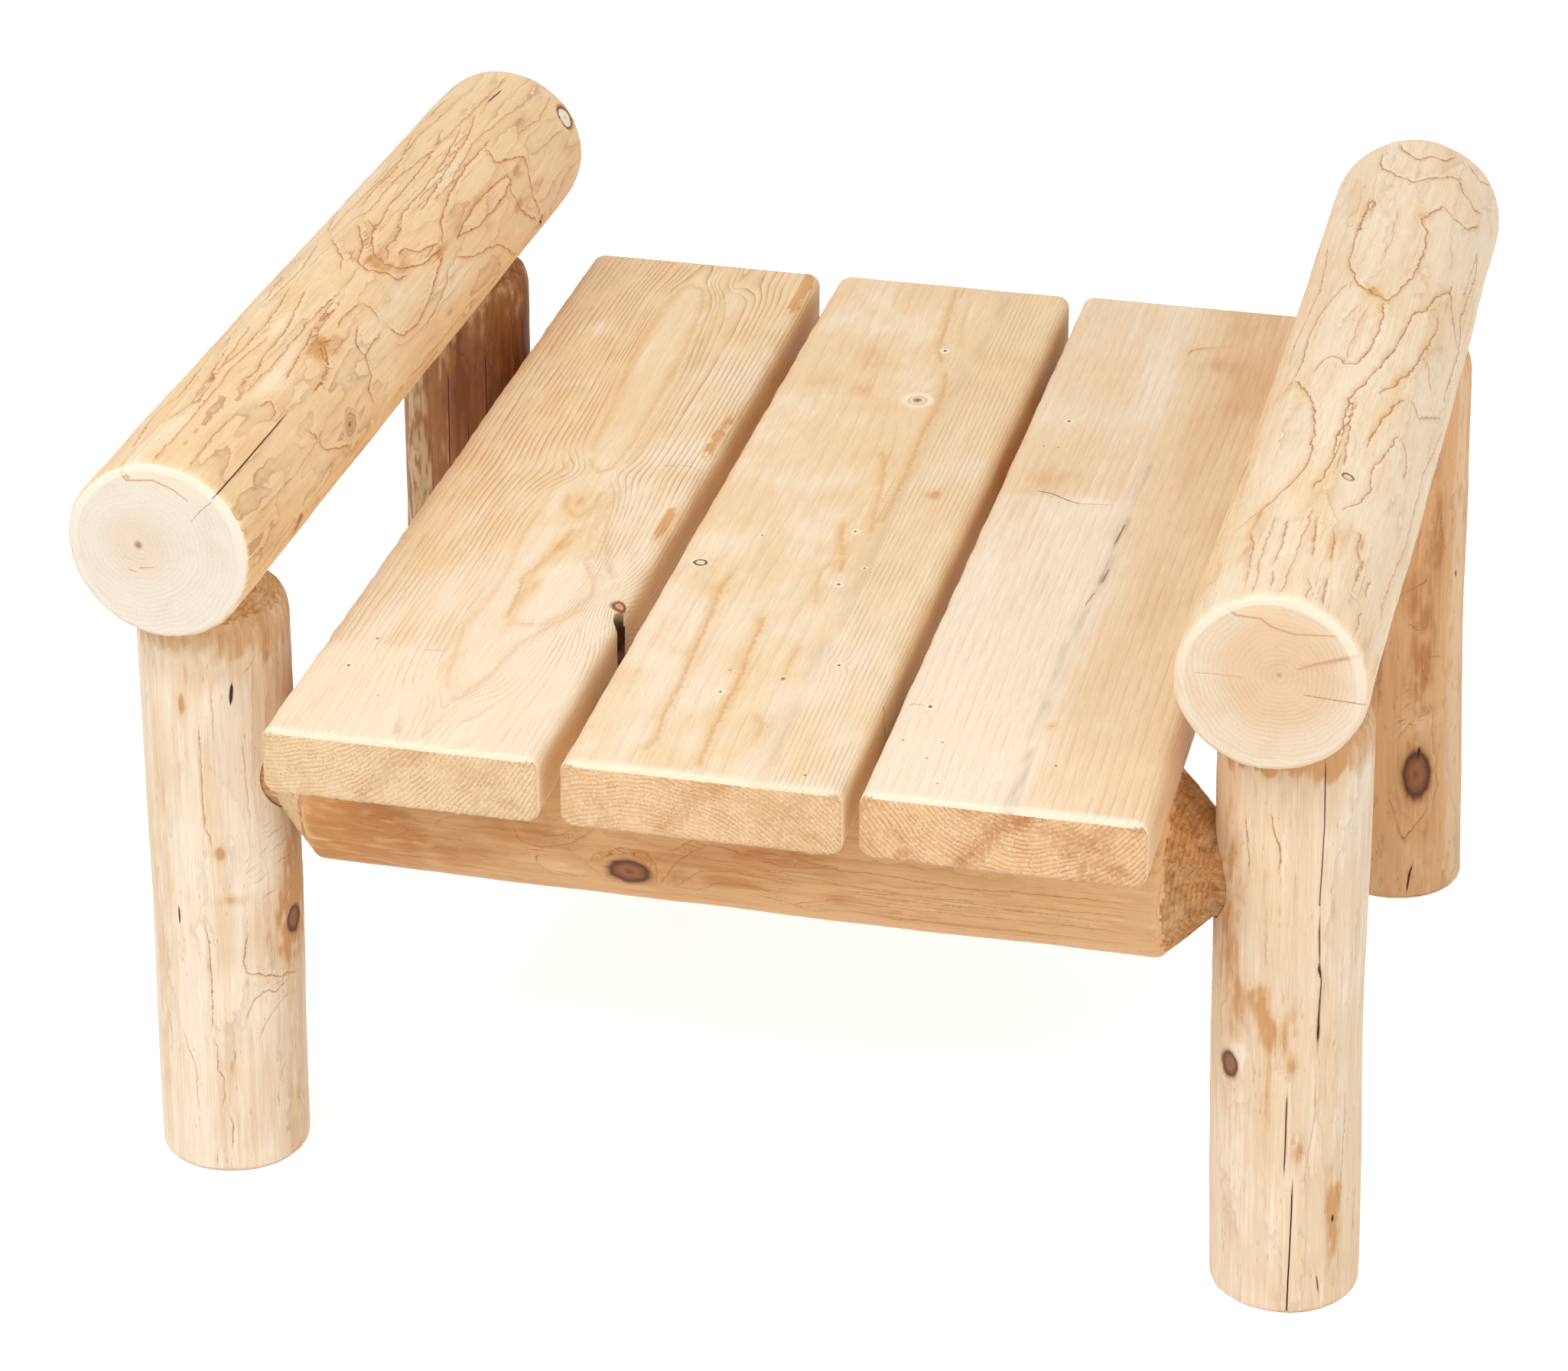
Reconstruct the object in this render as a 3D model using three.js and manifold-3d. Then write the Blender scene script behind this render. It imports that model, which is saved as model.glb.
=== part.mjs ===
// Log ottoman: a free-standing rustic footstool of peeled logs and three seat planks.
// Four posts carry two arm logs on round tenons, two cross rails are tenoned between the posts,
// and three planks lie on flats along the rails. Millimetres, +X right, +Y back, +Z up.

import * as THREE from 'three';
import { mergeVertices } from 'three/addons/utils/BufferGeometryUtils.js';
import Module from 'manifold-3d';

const wasm = await Module();
wasm.setup();

// Fits
const fitClearance = 0.3; // air between a round tenon and its socket, on the radius
const restGap = 0.3; // air between pieces that lie on each other
const tenonEndGap = 3; // depth of a blind socket past the tenon's end
const cutOverrun = 30; // how far a cutting solid runs past what it cuts

// Facets
const logSides = 32;
const logStations = 5;
const screwSides = 10;
const easeSteps = 2;

// Seat planks, laid along Y on the rails
const seatHeight = 318;
const plankWidth = 140;
const plankThickness = 37;
const plankEase = 7; // radius of the four long edges
const plankEndChamfer = 3;
const plankNames = ['left', 'middle', 'right'];
const plankGaps = [10.4, 7.3]; // left to middle, middle to right
const plankStaggers = { left: 0, middle: 1.4, right: 4 }; // how far each front end sits back
const seatSideGaps = { left: 25, right: 15 }; // between the outer planks and the front posts
const seatWidth = plankNames.length * plankWidth + sum(plankGaps);
const seatUnderside = seatHeight - plankThickness;

// Posts
const postSpanY = 441; // between the centres of the front and rear posts
// How far each post leans in, in degrees, so that its foot stands further out than its top
const splays = { front_left: 0.5, front_right: 1.9, rear_left: 0.6, rear_right: 2.7 };
const postRadii = { front_left: 40.4, front_right: 39.4, rear_left: 39, rear_right: 40.2 };
const postShifts = { front_left: 0, front_right: 0, rear_left: 5, rear_right: 1 }; // along X
const postBow = 1.5;
const footChamfer = 3;
// Rim of each post's shoulder below the underside of its arm log
const shoulderDrops = { front_left: 13, front_right: 13, rear_left: 10, rear_right: 7 };
const postRimLength = 9; // rounded stretch between the post and its 45 degree shoulder
const postRimDrop = 2.5;
const armTenonRadius = 25;
const armTenonLength = 46;

// Arm logs, each laid along Y on the two posts of its side
const armRise = 61; // from the top of the seat to the axes of the arm logs
const arms = {
  left: {
    frontRadius: 49,
    rearRadius: 48.4,
    frontOverhang: 63,
    rearOverhang: 77,
    frontShift: -4,
    rearShift: 9.5,
  },
  right: {
    frontRadius: 47.5,
    rearRadius: 48.7,
    frontOverhang: 76.5,
    rearOverhang: 92,
    frontShift: -3.5,
    rearShift: -2,
  },
};
const armChamfer = 3;
const armBow = 1.2;
const armAxisHeight = seatHeight + armRise;

// Cross rails, each laid along X between the two posts of its row
const railRadii = { front: 49.6, rear: 50 };
const railRimLength = 3; // rounded stretch between the rail and its 45 degree shoulder
const railRimDrop = 1.2;
const shoulderBite = 2; // how deep a rail's shoulder beds into the mouth of its socket
const railTenonRadius = 25;
const railTenonLength = 44;
const railBow = 1;
const tenonChamfer = 2;
const flatDepth = 3.6; // depth of the flat below the round top of the rail
const flatMargin = 6; // the flat runs this far past the outer planks

// Overhangs of the planks, from the centres of the posts to the planks' ends
const plankOverhangs = { front: 119.5, rear: 69.5 };
const plankLength = postSpanY + plankOverhangs.front + plankOverhangs.rear;

// Screws that hold the tenons in their sockets
const lockScrewDepth = 3; // of the head below the surface
const lockScrewCover = 12; // wood left past the tip in the slimmest post
const lockScrew = {
  headRadius: 4.5,
  headLength: 4,
  shankRadius: 2.4,
  tipLength: 7,
  length: Math.min(...Object.values(postRadii)) * 2 - lockScrewDepth - lockScrewCover,
};
const armScrewSlope = 17; // degrees below level, on the inner side of the arm log
const armScrewShifts = { front_left: 14, front_right: 0, rear_left: -4, rear_right: 0 };
const railScrewInset = 5; // from the post's centre towards the middle of the ottoman

// Screws that come up through the rails into the planks
const plankScrew = { headRadius: 5.5, headLength: 4, shankRadius: 3, length: 88, tipLength: 9 };
const plankScrewCover = 11; // wood left in the plank past the tip
const plankScrewSpacing = 76;
const counterboreClearance = 2; // between a plank screw's head and its counterbore, on the radius

const wood = { post: 0xdcb98a, arm: 0xe3c598, rail: 0xc7935c, plank: 0xeccfa6 };
const steel = 0x8f8a80;

const up = new THREE.Vector3(0, 0, 1);
const alongY = new THREE.Vector3(0, 1, 0);

function sum(values) {
  return values.reduce((total, value) => total + value, 0);
}

function woodMaterial(color) {
  return new THREE.MeshStandardMaterial({ color, roughness: 0.75, metalness: 0 });
}

function steelMaterial() {
  return new THREE.MeshStandardMaterial({ color: steel, roughness: 0.4, metalness: 0.9 });
}

// Solids

function solidOf(geometry, matrix) {
  const copy = geometry.clone();
  copy.deleteAttribute('normal');
  copy.deleteAttribute('uv');
  if (matrix) copy.applyMatrix4(matrix);
  const merged = mergeVertices(copy);
  return new wasm.Manifold(new wasm.Mesh({
    numProp: 3,
    vertProperties: new Float32Array(merged.attributes.position.array),
    triVerts: new Uint32Array(merged.index.array),
  }));
}

function geometryOf(solid) {
  const mesh = solid.getMesh();
  const geometry = new THREE.BufferGeometry();
  geometry.setAttribute('position', new THREE.BufferAttribute(mesh.vertProperties, mesh.numProp));
  geometry.setIndex(new THREE.BufferAttribute(mesh.triVerts, 1));
  geometry.computeVertexNormals();
  return geometry;
}

// Cuts every cutter out of the target, each from where it stands
function cut(target, cutters) {
  target.updateMatrixWorld();
  const home = target.matrixWorld.clone().invert();
  let body = solidOf(target.geometry);
  for (const cutter of cutters) {
    cutter.updateMatrixWorld();
    body = body.subtract(solidOf(cutter.geometry, home.clone().multiply(cutter.matrixWorld)));
  }
  target.geometry = geometryOf(body);
}

// Logs
// A log is turned round its own +Y, from its start at the origin. Its ends are lists of
// [distance from the end, radius], from the end face inwards.

function sawnEnd(radius, chamfer) {
  return [[0, radius - chamfer], [chamfer, radius]];
}

// A tenon cutter's end: chamfered tenon, 45 degree shoulder and a rounded rim
function tenonEnd({ logRadius, tenonRadius, tenonLength, rimLength, rimDrop, grow }) {
  const coneLength = logRadius - rimDrop - tenonRadius;
  const tenon = tenonLength + (grow ? tenonEndGap : 0);
  const coneEnd = tenon + coneLength;
  const middleShare = 0.5;
  const middleDropShare = 0.3;
  return [
    [0, tenonRadius - tenonChamfer + grow],
    [tenonChamfer, tenonRadius + grow],
    [tenon - grow, tenonRadius + grow],
    [coneEnd - grow, logRadius - rimDrop + grow],
    [coneEnd + rimLength * middleShare, logRadius - rimDrop * middleDropShare + grow],
    [coneEnd + rimLength, logRadius + grow],
  ];
}

function endLength(end) {
  return end[end.length - 1][0];
}

function logGeometry({ length, start, finish, bow }) {
  const startLength = endLength(start);
  const bodyLength = length - startLength - endLength(finish);
  const startRadius = start[start.length - 1][1];
  const finishRadius = finish[finish.length - 1][1];
  const profile = [new THREE.Vector2(0, 0)];
  for (const [distance, radius] of start) profile.push(new THREE.Vector2(radius, distance));
  for (let i = 1; i < logStations; i += 1) {
    const share = i / logStations;
    const radius = THREE.MathUtils.lerp(startRadius, finishRadius, share);
    profile.push(new THREE.Vector2(radius, startLength + bodyLength * share));
  }
  for (const [distance, radius] of [...finish].reverse()) {
    profile.push(new THREE.Vector2(radius, length - distance));
  }
  profile.push(new THREE.Vector2(0, length));
  const geometry = new THREE.LatheGeometry(profile, logSides);
  bend(geometry, startLength, bodyLength, bow);
  return geometry;
}

// The slight natural bow of a log, which leaves its worked ends true
function bend(geometry, from, span, bow) {
  const place = geometry.attributes.position;
  for (let i = 0; i < place.count; i += 1) {
    const share = THREE.MathUtils.clamp((place.getY(i) - from) / span, 0, 1);
    place.setX(i, place.getX(i) + bow * Math.sin(Math.PI * share) ** 2);
  }
}

// Stands a piece's own +Y along a direction, with its start at a point
function aim(mesh, from, direction) {
  mesh.position.copy(from);
  mesh.quaternion.setFromUnitVectors(alongY, direction.clone().normalize());
  return mesh;
}

function named(name, geometry, material) {
  const mesh = new THREE.Mesh(geometry, material);
  mesh.name = name;
  return mesh;
}

// Posts

function corner(name) {
  return { row: name.startsWith('front') ? -1 : 1, side: name.endsWith('left') ? -1 : 1 };
}

function rowOf(name) {
  return name.startsWith('front') ? 'front' : 'rear';
}

function armSideOf(name) {
  return name.endsWith('left') ? 'left' : 'right';
}

// How far a post's axis moves inwards as it passes from the seat's top to the arm log
function leanAboveSeat(name) {
  return Math.tan(THREE.MathUtils.degToRad(splays[name])) * armRise;
}

// Spacing of the front posts that leaves the seat its side gaps where the posts pass it
function postSpanX() {
  const lean = leanAboveSeat('front_left') + leanAboveSeat('front_right');
  const radii = postRadii.front_left + postRadii.front_right;
  return seatWidth + seatSideGaps.left + seatSideGaps.right + radii - lean;
}

// Centre of the seat, which sits nearer to the right posts
function seatCentreX() {
  const leftFace = -postSpanX() / 2 - leanAboveSeat('front_left') + postRadii.front_left;
  return leftFace + seatSideGaps.left + seatWidth / 2;
}

function armRadiusAt(arm, y) {
  const length = postSpanY + arm.frontOverhang + arm.rearOverhang;
  const share = (y + postSpanY / 2 + arm.frontOverhang) / length;
  return THREE.MathUtils.lerp(arm.frontRadius, arm.rearRadius, share);
}

function postTop(name) {
  const { row, side } = corner(name);
  const x = side * postSpanX() / 2 + postShifts[name];
  return new THREE.Vector3(x, row * postSpanY / 2, armAxisHeight);
}

function postDirection(name) {
  const splay = THREE.MathUtils.degToRad(splays[name]);
  return new THREE.Vector3(-corner(name).side * Math.sin(splay), 0, Math.cos(splay));
}

function pointOnPost(name, height) {
  const top = postTop(name);
  const direction = postDirection(name);
  return top.addScaledVector(direction, (height - armAxisHeight) / direction.z);
}

function post(name, grow = 0) {
  const logRadius = postRadii[name];
  const arm = arms[armSideOf(name)];
  const rimHeight = armAxisHeight - armRadiusAt(arm, postTop(name).y) - shoulderDrops[name];
  const finish = tenonEnd({
    logRadius,
    tenonRadius: armTenonRadius,
    tenonLength: armTenonLength,
    rimLength: postRimLength,
    rimDrop: postRimDrop,
    grow,
  });
  const direction = postDirection(name);
  const footTrim = logRadius * Math.abs(direction.x);
  const foot = pointOnPost(name, -footTrim);
  const length = pointOnPost(name, rimHeight).distanceTo(foot) + endLength(finish);
  const start = sawnEnd(logRadius + grow, footChamfer);
  const geometry = logGeometry({ length, start, finish, bow: -postBow * corner(name).side });
  const mesh = aim(named(`${name}_post`, geometry, woodMaterial(wood.post)), foot, direction);
  if (!grow) cut(mesh, [floorCutter()]);
  return mesh;
}

function floorCutter() {
  const width = postSpanX() + postSpanY;
  const block = new THREE.Mesh(new THREE.BoxGeometry(width, width, cutOverrun));
  block.position.z = -cutOverrun / 2;
  return block;
}

// Arm logs

function armPoint(side, end) {
  const arm = arms[side];
  const isFront = end === 'front';
  const sign = side === 'left' ? -1 : 1;
  const x = sign * postSpanX() / 2 + (isFront ? arm.frontShift : arm.rearShift);
  const y = isFront ? -postSpanY / 2 - arm.frontOverhang : postSpanY / 2 + arm.rearOverhang;
  return new THREE.Vector3(x, y, armAxisHeight);
}

function armLog(side) {
  const arm = arms[side];
  const from = armPoint(side, 'front');
  const line = armPoint(side, 'rear').sub(from);
  const geometry = logGeometry({
    length: line.length(),
    start: sawnEnd(arm.frontRadius, armChamfer),
    finish: sawnEnd(arm.rearRadius, armChamfer),
    bow: side === 'left' ? -armBow : armBow,
  });
  return aim(named(`${side}_arm_log`, geometry, woodMaterial(wood.arm)), from, line);
}

// Rails

function railHeight(row) {
  return seatUnderside - restGap - railRadii[row] + flatDepth;
}

// Where a post's inner side meets the level of its rail
function railFace(row, side) {
  const name = `${row}_${side}`;
  const point = pointOnPost(name, railHeight(row));
  return point.setX(point.x - corner(name).side * postRadii[name]);
}

function rail(row, grow = 0) {
  const end = tenonEnd({
    logRadius: railRadii[row],
    tenonRadius: railTenonRadius,
    tenonLength: railTenonLength,
    rimLength: railRimLength,
    rimDrop: railRimDrop,
    grow,
  });
  const from = railFace(row, 'left');
  const line = railFace(row, 'right').sub(from);
  const reach = shoulderBite + railTenonLength + (grow ? tenonEndGap : 0);
  const length = line.length() + reach * 2;
  const geometry = logGeometry({ length, start: end, finish: end, bow: railBow });
  const mesh = named(`${row}_rail`, geometry, woodMaterial(wood.rail));
  return aim(mesh, from.addScaledVector(line.normalize(), -reach), line);
}

// Takes the top of a rail down to the flat that the planks lie on
function flatCutter(row) {
  const width = seatWidth + flatMargin * 2;
  const depth = railRadii[row] * 2 + cutOverrun;
  const block = new THREE.Mesh(new THREE.BoxGeometry(width, depth, cutOverrun));
  block.position.set(seatCentreX(), railFace(row, 'left').y, seatUnderside - restGap + cutOverrun / 2);
  return block;
}

// Planks

function plankX(index) {
  const before = index * plankWidth + sum(plankGaps.slice(0, index));
  return seatCentreX() - seatWidth / 2 + before + plankWidth / 2;
}

function plankOutline() {
  const halfWidth = plankWidth / 2;
  const shape = new THREE.Shape();
  const right = halfWidth - plankEase;
  const top = plankThickness - plankEase;
  shape.absarc(right, plankEase, plankEase, -Math.PI / 2, 0);
  shape.absarc(right, top, plankEase, 0, Math.PI / 2);
  shape.absarc(-right, top, plankEase, Math.PI / 2, Math.PI);
  shape.absarc(-right, plankEase, plankEase, Math.PI, Math.PI * 1.5);
  return shape;
}

function plank(index) {
  const name = plankNames[index];
  const depth = plankLength - plankEndChamfer * 2;
  const geometry = new THREE.ExtrudeGeometry(plankOutline(), {
    depth,
    curveSegments: easeSteps,
    bevelSize: plankEndChamfer,
    bevelOffset: -plankEndChamfer,
    bevelThickness: plankEndChamfer,
    bevelSegments: 1,
  });
  const mesh = named(`${name}_seat_plank`, geometry, woodMaterial(wood.plank));
  mesh.rotation.x = Math.PI / 2;
  const frontY = -postSpanY / 2 - plankOverhangs.front + plankStaggers[name];
  mesh.position.set(plankX(index), frontY + plankEndChamfer + depth, seatUnderside);
  return mesh;
}

// Screws
// A screw points along its own +Y, from the top of its countersunk head at the origin.

function screwGeometry(spec) {
  const points = [
    [0, 0],
    [spec.headRadius, 0],
    [spec.shankRadius, spec.headLength],
    [spec.shankRadius, spec.length - spec.tipLength],
    [0, spec.length],
  ];
  return new THREE.LatheGeometry(points.map(([x, y]) => new THREE.Vector2(x, y)), screwSides);
}

function screw(name, spec, from, direction) {
  return aim(named(name, geometryOf(solidOf(screwGeometry(spec))), steelMaterial()), from, direction);
}

// The hole that a screw is driven through, with a straight mouth out through the wood's surface
function screwHole(spec, from, direction, mouthClearance, mouthLength) {
  const mouthRadius = spec.headRadius + mouthClearance;
  const points = [
    [0, -mouthLength],
    [mouthRadius, -mouthLength],
    [mouthRadius, 0],
    [spec.headRadius + fitClearance, 0],
    [spec.shankRadius + fitClearance, spec.headLength],
    [spec.shankRadius + fitClearance, spec.length - spec.tipLength],
    [0, spec.length + fitClearance],
  ];
  const outline = points.map(([x, y]) => new THREE.Vector2(x, y));
  return aim(new THREE.Mesh(new THREE.LatheGeometry(outline, screwSides)), from, direction);
}

function armScrewPlace(name) {
  const side = armSideOf(name);
  const front = armPoint(side, 'front');
  const line = armPoint(side, 'rear').sub(front).normalize();
  const y = postTop(name).y + armScrewShifts[name];
  const axisPoint = front.clone().addScaledVector(line, (y - front.y) / line.y);
  const slope = THREE.MathUtils.degToRad(armScrewSlope);
  const inward = new THREE.Vector3(corner(name).side * Math.cos(slope), 0, Math.sin(slope));
  const reach = armRadiusAt(arms[side], y) - lockScrewDepth;
  return { from: axisPoint.addScaledVector(inward, -reach), direction: inward };
}

// Each rail screw is driven forwards, from the back of its post
function railScrewPlace(name) {
  const onPost = pointOnPost(name, railHeight(rowOf(name)));
  const direction = alongY.clone().negate();
  const from = onPost.addScaledVector(direction, lockScrewDepth - postRadii[name]);
  from.x -= corner(name).side * railScrewInset;
  return { from, direction };
}

function plankScrewPlaces(row) {
  const { y } = railFace(row, 'left');
  const z = seatHeight - plankScrewCover - plankScrew.length;
  return plankNames.flatMap((name, index) => [-1, 1].map((hand) => ({
    name: `${row}_${name}_plank_screw_${hand < 0 ? 'left' : 'right'}`,
    plank: index,
    from: new THREE.Vector3(plankX(index) + hand * plankScrewSpacing / 2, y, z),
  })));
}

// Assembly

function build() {
  const corners = Object.keys(postRadii);
  const posts = Object.fromEntries(corners.map((name) => [name, post(name)]));
  const armLogs = { left: armLog('left'), right: armLog('right') };
  const rails = { front: rail('front'), rear: rail('rear') };
  const planks = plankNames.map((_, index) => plank(index));
  const screws = [];

  for (const name of corners) {
    const armScrew = armScrewPlace(name);
    const armHole = screwHole(lockScrew, armScrew.from, armScrew.direction, fitClearance, cutOverrun);
    screws.push(screw(`${name}_arm_screw`, lockScrew, armScrew.from, armScrew.direction));
    cut(armLogs[armSideOf(name)], [post(name, fitClearance), armHole]);

    const railScrew = railScrewPlace(name);
    const railHole = screwHole(lockScrew, railScrew.from, railScrew.direction, fitClearance, cutOverrun);
    screws.push(screw(`${name}_rail_screw`, lockScrew, railScrew.from, railScrew.direction));
    cut(posts[name], [armHole, rail(rowOf(name), fitClearance), railHole]);
    cut(rails[rowOf(name)], [railHole]);
  }

  for (const row of Object.keys(rails)) {
    cut(rails[row], [flatCutter(row)]);
    for (const place of plankScrewPlaces(row)) {
      const hole = screwHole(plankScrew, place.from, up, counterboreClearance, railRadii[row]);
      screws.push(screw(place.name, plankScrew, place.from, up));
      cut(rails[row], [hole]);
      cut(planks[place.plank], [hole]);
    }
  }

  const logs = [posts, armLogs, rails].flatMap((group) => Object.values(group));
  const ottoman = new THREE.Group();
  ottoman.add(...logs, ...planks, ...screws);
  return ottoman;
}

// Moves the pieces so that the origin is the bottom centre of the whole ottoman
function centre(group) {
  const middle = new THREE.Box3().setFromObject(group, true).getCenter(new THREE.Vector3());
  for (const piece of group.children) piece.position.sub(middle.clone().setZ(0));
  return group;
}

export default centre(build());
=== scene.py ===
import math

import bpy
import numpy as np
from mathutils import Matrix, Vector


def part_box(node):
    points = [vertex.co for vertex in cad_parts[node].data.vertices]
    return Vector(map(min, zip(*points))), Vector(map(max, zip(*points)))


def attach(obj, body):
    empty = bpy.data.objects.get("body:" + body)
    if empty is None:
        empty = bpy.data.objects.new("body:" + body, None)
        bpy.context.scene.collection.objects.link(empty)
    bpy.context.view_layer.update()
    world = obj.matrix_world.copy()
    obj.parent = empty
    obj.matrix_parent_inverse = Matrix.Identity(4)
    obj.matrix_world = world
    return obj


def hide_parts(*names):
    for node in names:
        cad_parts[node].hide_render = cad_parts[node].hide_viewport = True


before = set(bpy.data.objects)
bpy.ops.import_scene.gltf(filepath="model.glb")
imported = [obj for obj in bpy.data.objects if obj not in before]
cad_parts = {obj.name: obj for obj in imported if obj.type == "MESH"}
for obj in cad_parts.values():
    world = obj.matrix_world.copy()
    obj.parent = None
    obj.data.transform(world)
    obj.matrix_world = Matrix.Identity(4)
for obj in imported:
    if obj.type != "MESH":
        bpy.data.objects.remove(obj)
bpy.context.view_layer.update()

# Sizes of the pieces are in millimetres in the frame of the part's drawing, and angles round a log in
# degrees. MM turns them into metres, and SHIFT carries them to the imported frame.
MM = 0.001
POST_X, POST_Y, ARM_HEIGHT = 277.472, 220.5, 379.0
SEAT_TOP, PLANK_THICK = 318.0, 37.0
SEAT_UNDER = SEAT_TOP - PLANK_THICK
PLANK_WIDTH, PLANK_LENGTH, PLANK_EASE = 140.0, 630.0, 7.0
PLANK_X = (-142.604, 7.796, 155.096)
PLANK_STAGGER = (0.0, 1.4, 4.0)
FRONT_OVERHANG = 119.5
PLANK_FRONT = -POST_Y - FRONT_OVERHANG
REST_GAP, FIT = 0.3, 0.3

low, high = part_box("left_seat_plank")
SHIFT = (low + high) / 2 - Vector((PLANK_X[0], PLANK_FRONT + PLANK_LENGTH / 2, 0)) * MM
SHIFT.z = 0

# Steps of the logs' meshes, the points round what the screws and sockets are turned from, and the
# surfaces that a piece's materials stand for, in their order
MESH_STEP, HIDDEN_STEP, TENON_STEP = 2.0, 9.0, 1.5
SOCKET_COLUMNS, HOLE_COLUMNS, SCREW_COLUMNS = 96, 32, 24
END, SIDE, CUT, HOLE_SHADE = 0, 1, 2, 3


# Noise, computed from hashed lattice points, so that each run gives the same result

def lattice(ix, iy, iz, seed):
    h = ix.astype(np.uint32) * np.uint32(374761393)
    h ^= iy.astype(np.uint32) * np.uint32(668265263)
    h ^= iz.astype(np.uint32) * np.uint32(2246822519)
    h ^= np.uint32((seed * 2654435761 + 97) & 0xFFFFFFFF)
    h ^= h >> np.uint32(15)
    h *= np.uint32(2246822519)
    h ^= h >> np.uint32(13)
    h *= np.uint32(3266489917)
    h ^= h >> np.uint32(16)
    return h


def noise(p, seed):
    """Gradient noise of the points p, about -1 to 1."""
    cell = np.floor(p).astype(np.int64)
    f = p - cell
    w = f ** 3 * (f * (f * 6 - 15) + 10)
    total = np.zeros(len(p))
    for dx, dy, dz in np.ndindex(2, 2, 2):
        h = lattice(cell[:, 0] + dx, cell[:, 1] + dy, cell[:, 2] + dz, seed)
        gx, gy, gz = (((h >> np.uint32(bits)) & np.uint32(1023)) / 511.5 - 1 for bits in (0, 10, 20))
        dot = gx * (f[:, 0] - dx) + gy * (f[:, 1] - dy) + gz * (f[:, 2] - dz)
        weight = np.abs(1 - dx - w[:, 0]) * np.abs(1 - dy - w[:, 1])
        total += dot * weight * np.abs(1 - dz - w[:, 2])
    return total * 1.5


def cloud(x, y, z, octaves, seed, gain=0.5):
    """Layers of noise at the places (x, y, z), each about twice as fine as the last."""
    p = np.stack(np.broadcast_arrays(x, y, z), -1)
    total, size, scale = np.zeros(len(p)), 1.0, 1.0
    for k in range(octaves):
        total += noise(p * scale, seed + 17 * k) * size
        size *= gain
        scale *= 2.03
    return total


def smooth(low_edge, high_edge, x):
    t = np.clip((x - low_edge) / (high_edge - low_edge), 0, 1)
    return t * t * (3 - 2 * t)


def srgb(*rgb):
    """A colour written as 0 to 255, as a linear colour for a shader."""
    shares = [value / 255 for value in rgb]
    return (*(c / 12.92 if c <= 0.04045 else ((c + 0.055) / 1.055) ** 2.4 for c in shares), 1.0)


def marks(text):
    """Marks, divided by semicolons: the values of each, then the points of its path."""
    out = []
    for mark in text.split(";"):
        words = mark.split()
        points = [tuple(float(value) for value in word.split(",")) for word in words if "," in word]
        out.append((points, *(float(word) for word in words if "," not in word)))
    return out


# Meshes

def mesh_of(name, points, faces):
    """A mesh of the points in mm, and faces given as arrays of corner indices."""
    mesh = bpy.data.meshes.new(name)
    mesh.vertices.add(len(points))
    mesh.vertices.foreach_set("co", (np.asarray(points, np.float32) * MM).ravel())
    flat = np.concatenate([f.ravel() for f in faces]).astype(np.int32)
    sizes = np.concatenate([np.full(len(f), f.shape[1]) for f in faces])
    mesh.loops.add(len(flat))
    mesh.loops.foreach_set("vertex_index", flat)
    mesh.polygons.add(len(sizes))
    starts = np.concatenate([[0], np.cumsum(sizes)[:-1]])
    mesh.polygons.foreach_set("loop_start", starts.astype(np.int32))
    mesh.update(calc_edges=True)
    mesh.validate()
    return mesh


def add_object(name, data, matrix):
    obj = bpy.data.objects.new(name, data)
    bpy.context.scene.collection.objects.link(obj)
    obj.matrix_world = matrix
    return obj


def turned_faces(rows, columns):
    """Faces of a closed turned form: rows rings of columns points each, then its two end points."""
    j = np.arange(columns)
    j1 = (j + 1) % columns
    k = np.arange(rows - 1)[:, None] * columns
    quads = np.stack([k + j, k + j1, k + columns + j1, k + columns + j], -1).reshape(-1, 4)
    first, last, base = rows * columns, rows * columns + 1, (rows - 1) * columns
    head = np.stack([np.full(columns, first), j1, j], -1)
    tail = np.stack([np.full(columns, last), base + j, base + j1], -1)
    return quads, head, tail


def turned(name, rows, columns, matrix, tips=None):
    """A turned solid of rows of (distance, radius), where a radius can differ round its row."""
    angle = np.arange(columns) * 2 * math.pi / columns
    z = np.repeat([float(row[0]) for row in rows], columns)
    r = np.concatenate([np.broadcast_to(row[1], columns) for row in rows])
    a = np.tile(angle, len(rows))
    first, last = tips or (rows[0][0], rows[-1][0])
    points = np.stack([r * np.cos(a), r * np.sin(a), z], -1)
    points = np.vstack([points, [0, 0, first], [0, 0, last]])
    return add_object(name, mesh_of(name, points, turned_faces(len(rows), columns)), matrix)


def box_solid(name, low_corner, high_corner):
    corners = np.array(list(np.ndindex(2, 2, 2)), float)
    points = np.asarray(low_corner) + corners * (np.asarray(high_corner) - np.asarray(low_corner))
    quads = np.array([[0, 1, 3, 2], [4, 6, 7, 5], [0, 4, 5, 1], [2, 3, 7, 6], [0, 2, 6, 4], [1, 5, 7, 3]])
    return add_object(name, mesh_of(name, points, [quads]), Matrix.Translation(SHIFT))


def cut(obj, cutters):
    """Cuts the cutters out of obj for good."""
    for cutter in cutters:
        step = obj.modifiers.new("cut", "BOOLEAN")
        step.operation, step.object, step.solver = "DIFFERENCE", cutter, "MANIFOLD"
    bpy.context.view_layer.update()
    graph = bpy.context.evaluated_depsgraph_get()
    result = bpy.data.meshes.new_from_object(obj.evaluated_get(graph), depsgraph=graph)
    obj.modifiers.clear()
    old, obj.data = obj.data, result
    result.name = obj.name
    bpy.data.meshes.remove(old)


def remove(objects):
    for obj in objects:
        mesh = obj.data
        bpy.data.objects.remove(obj)
        bpy.data.meshes.remove(mesh)


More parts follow.
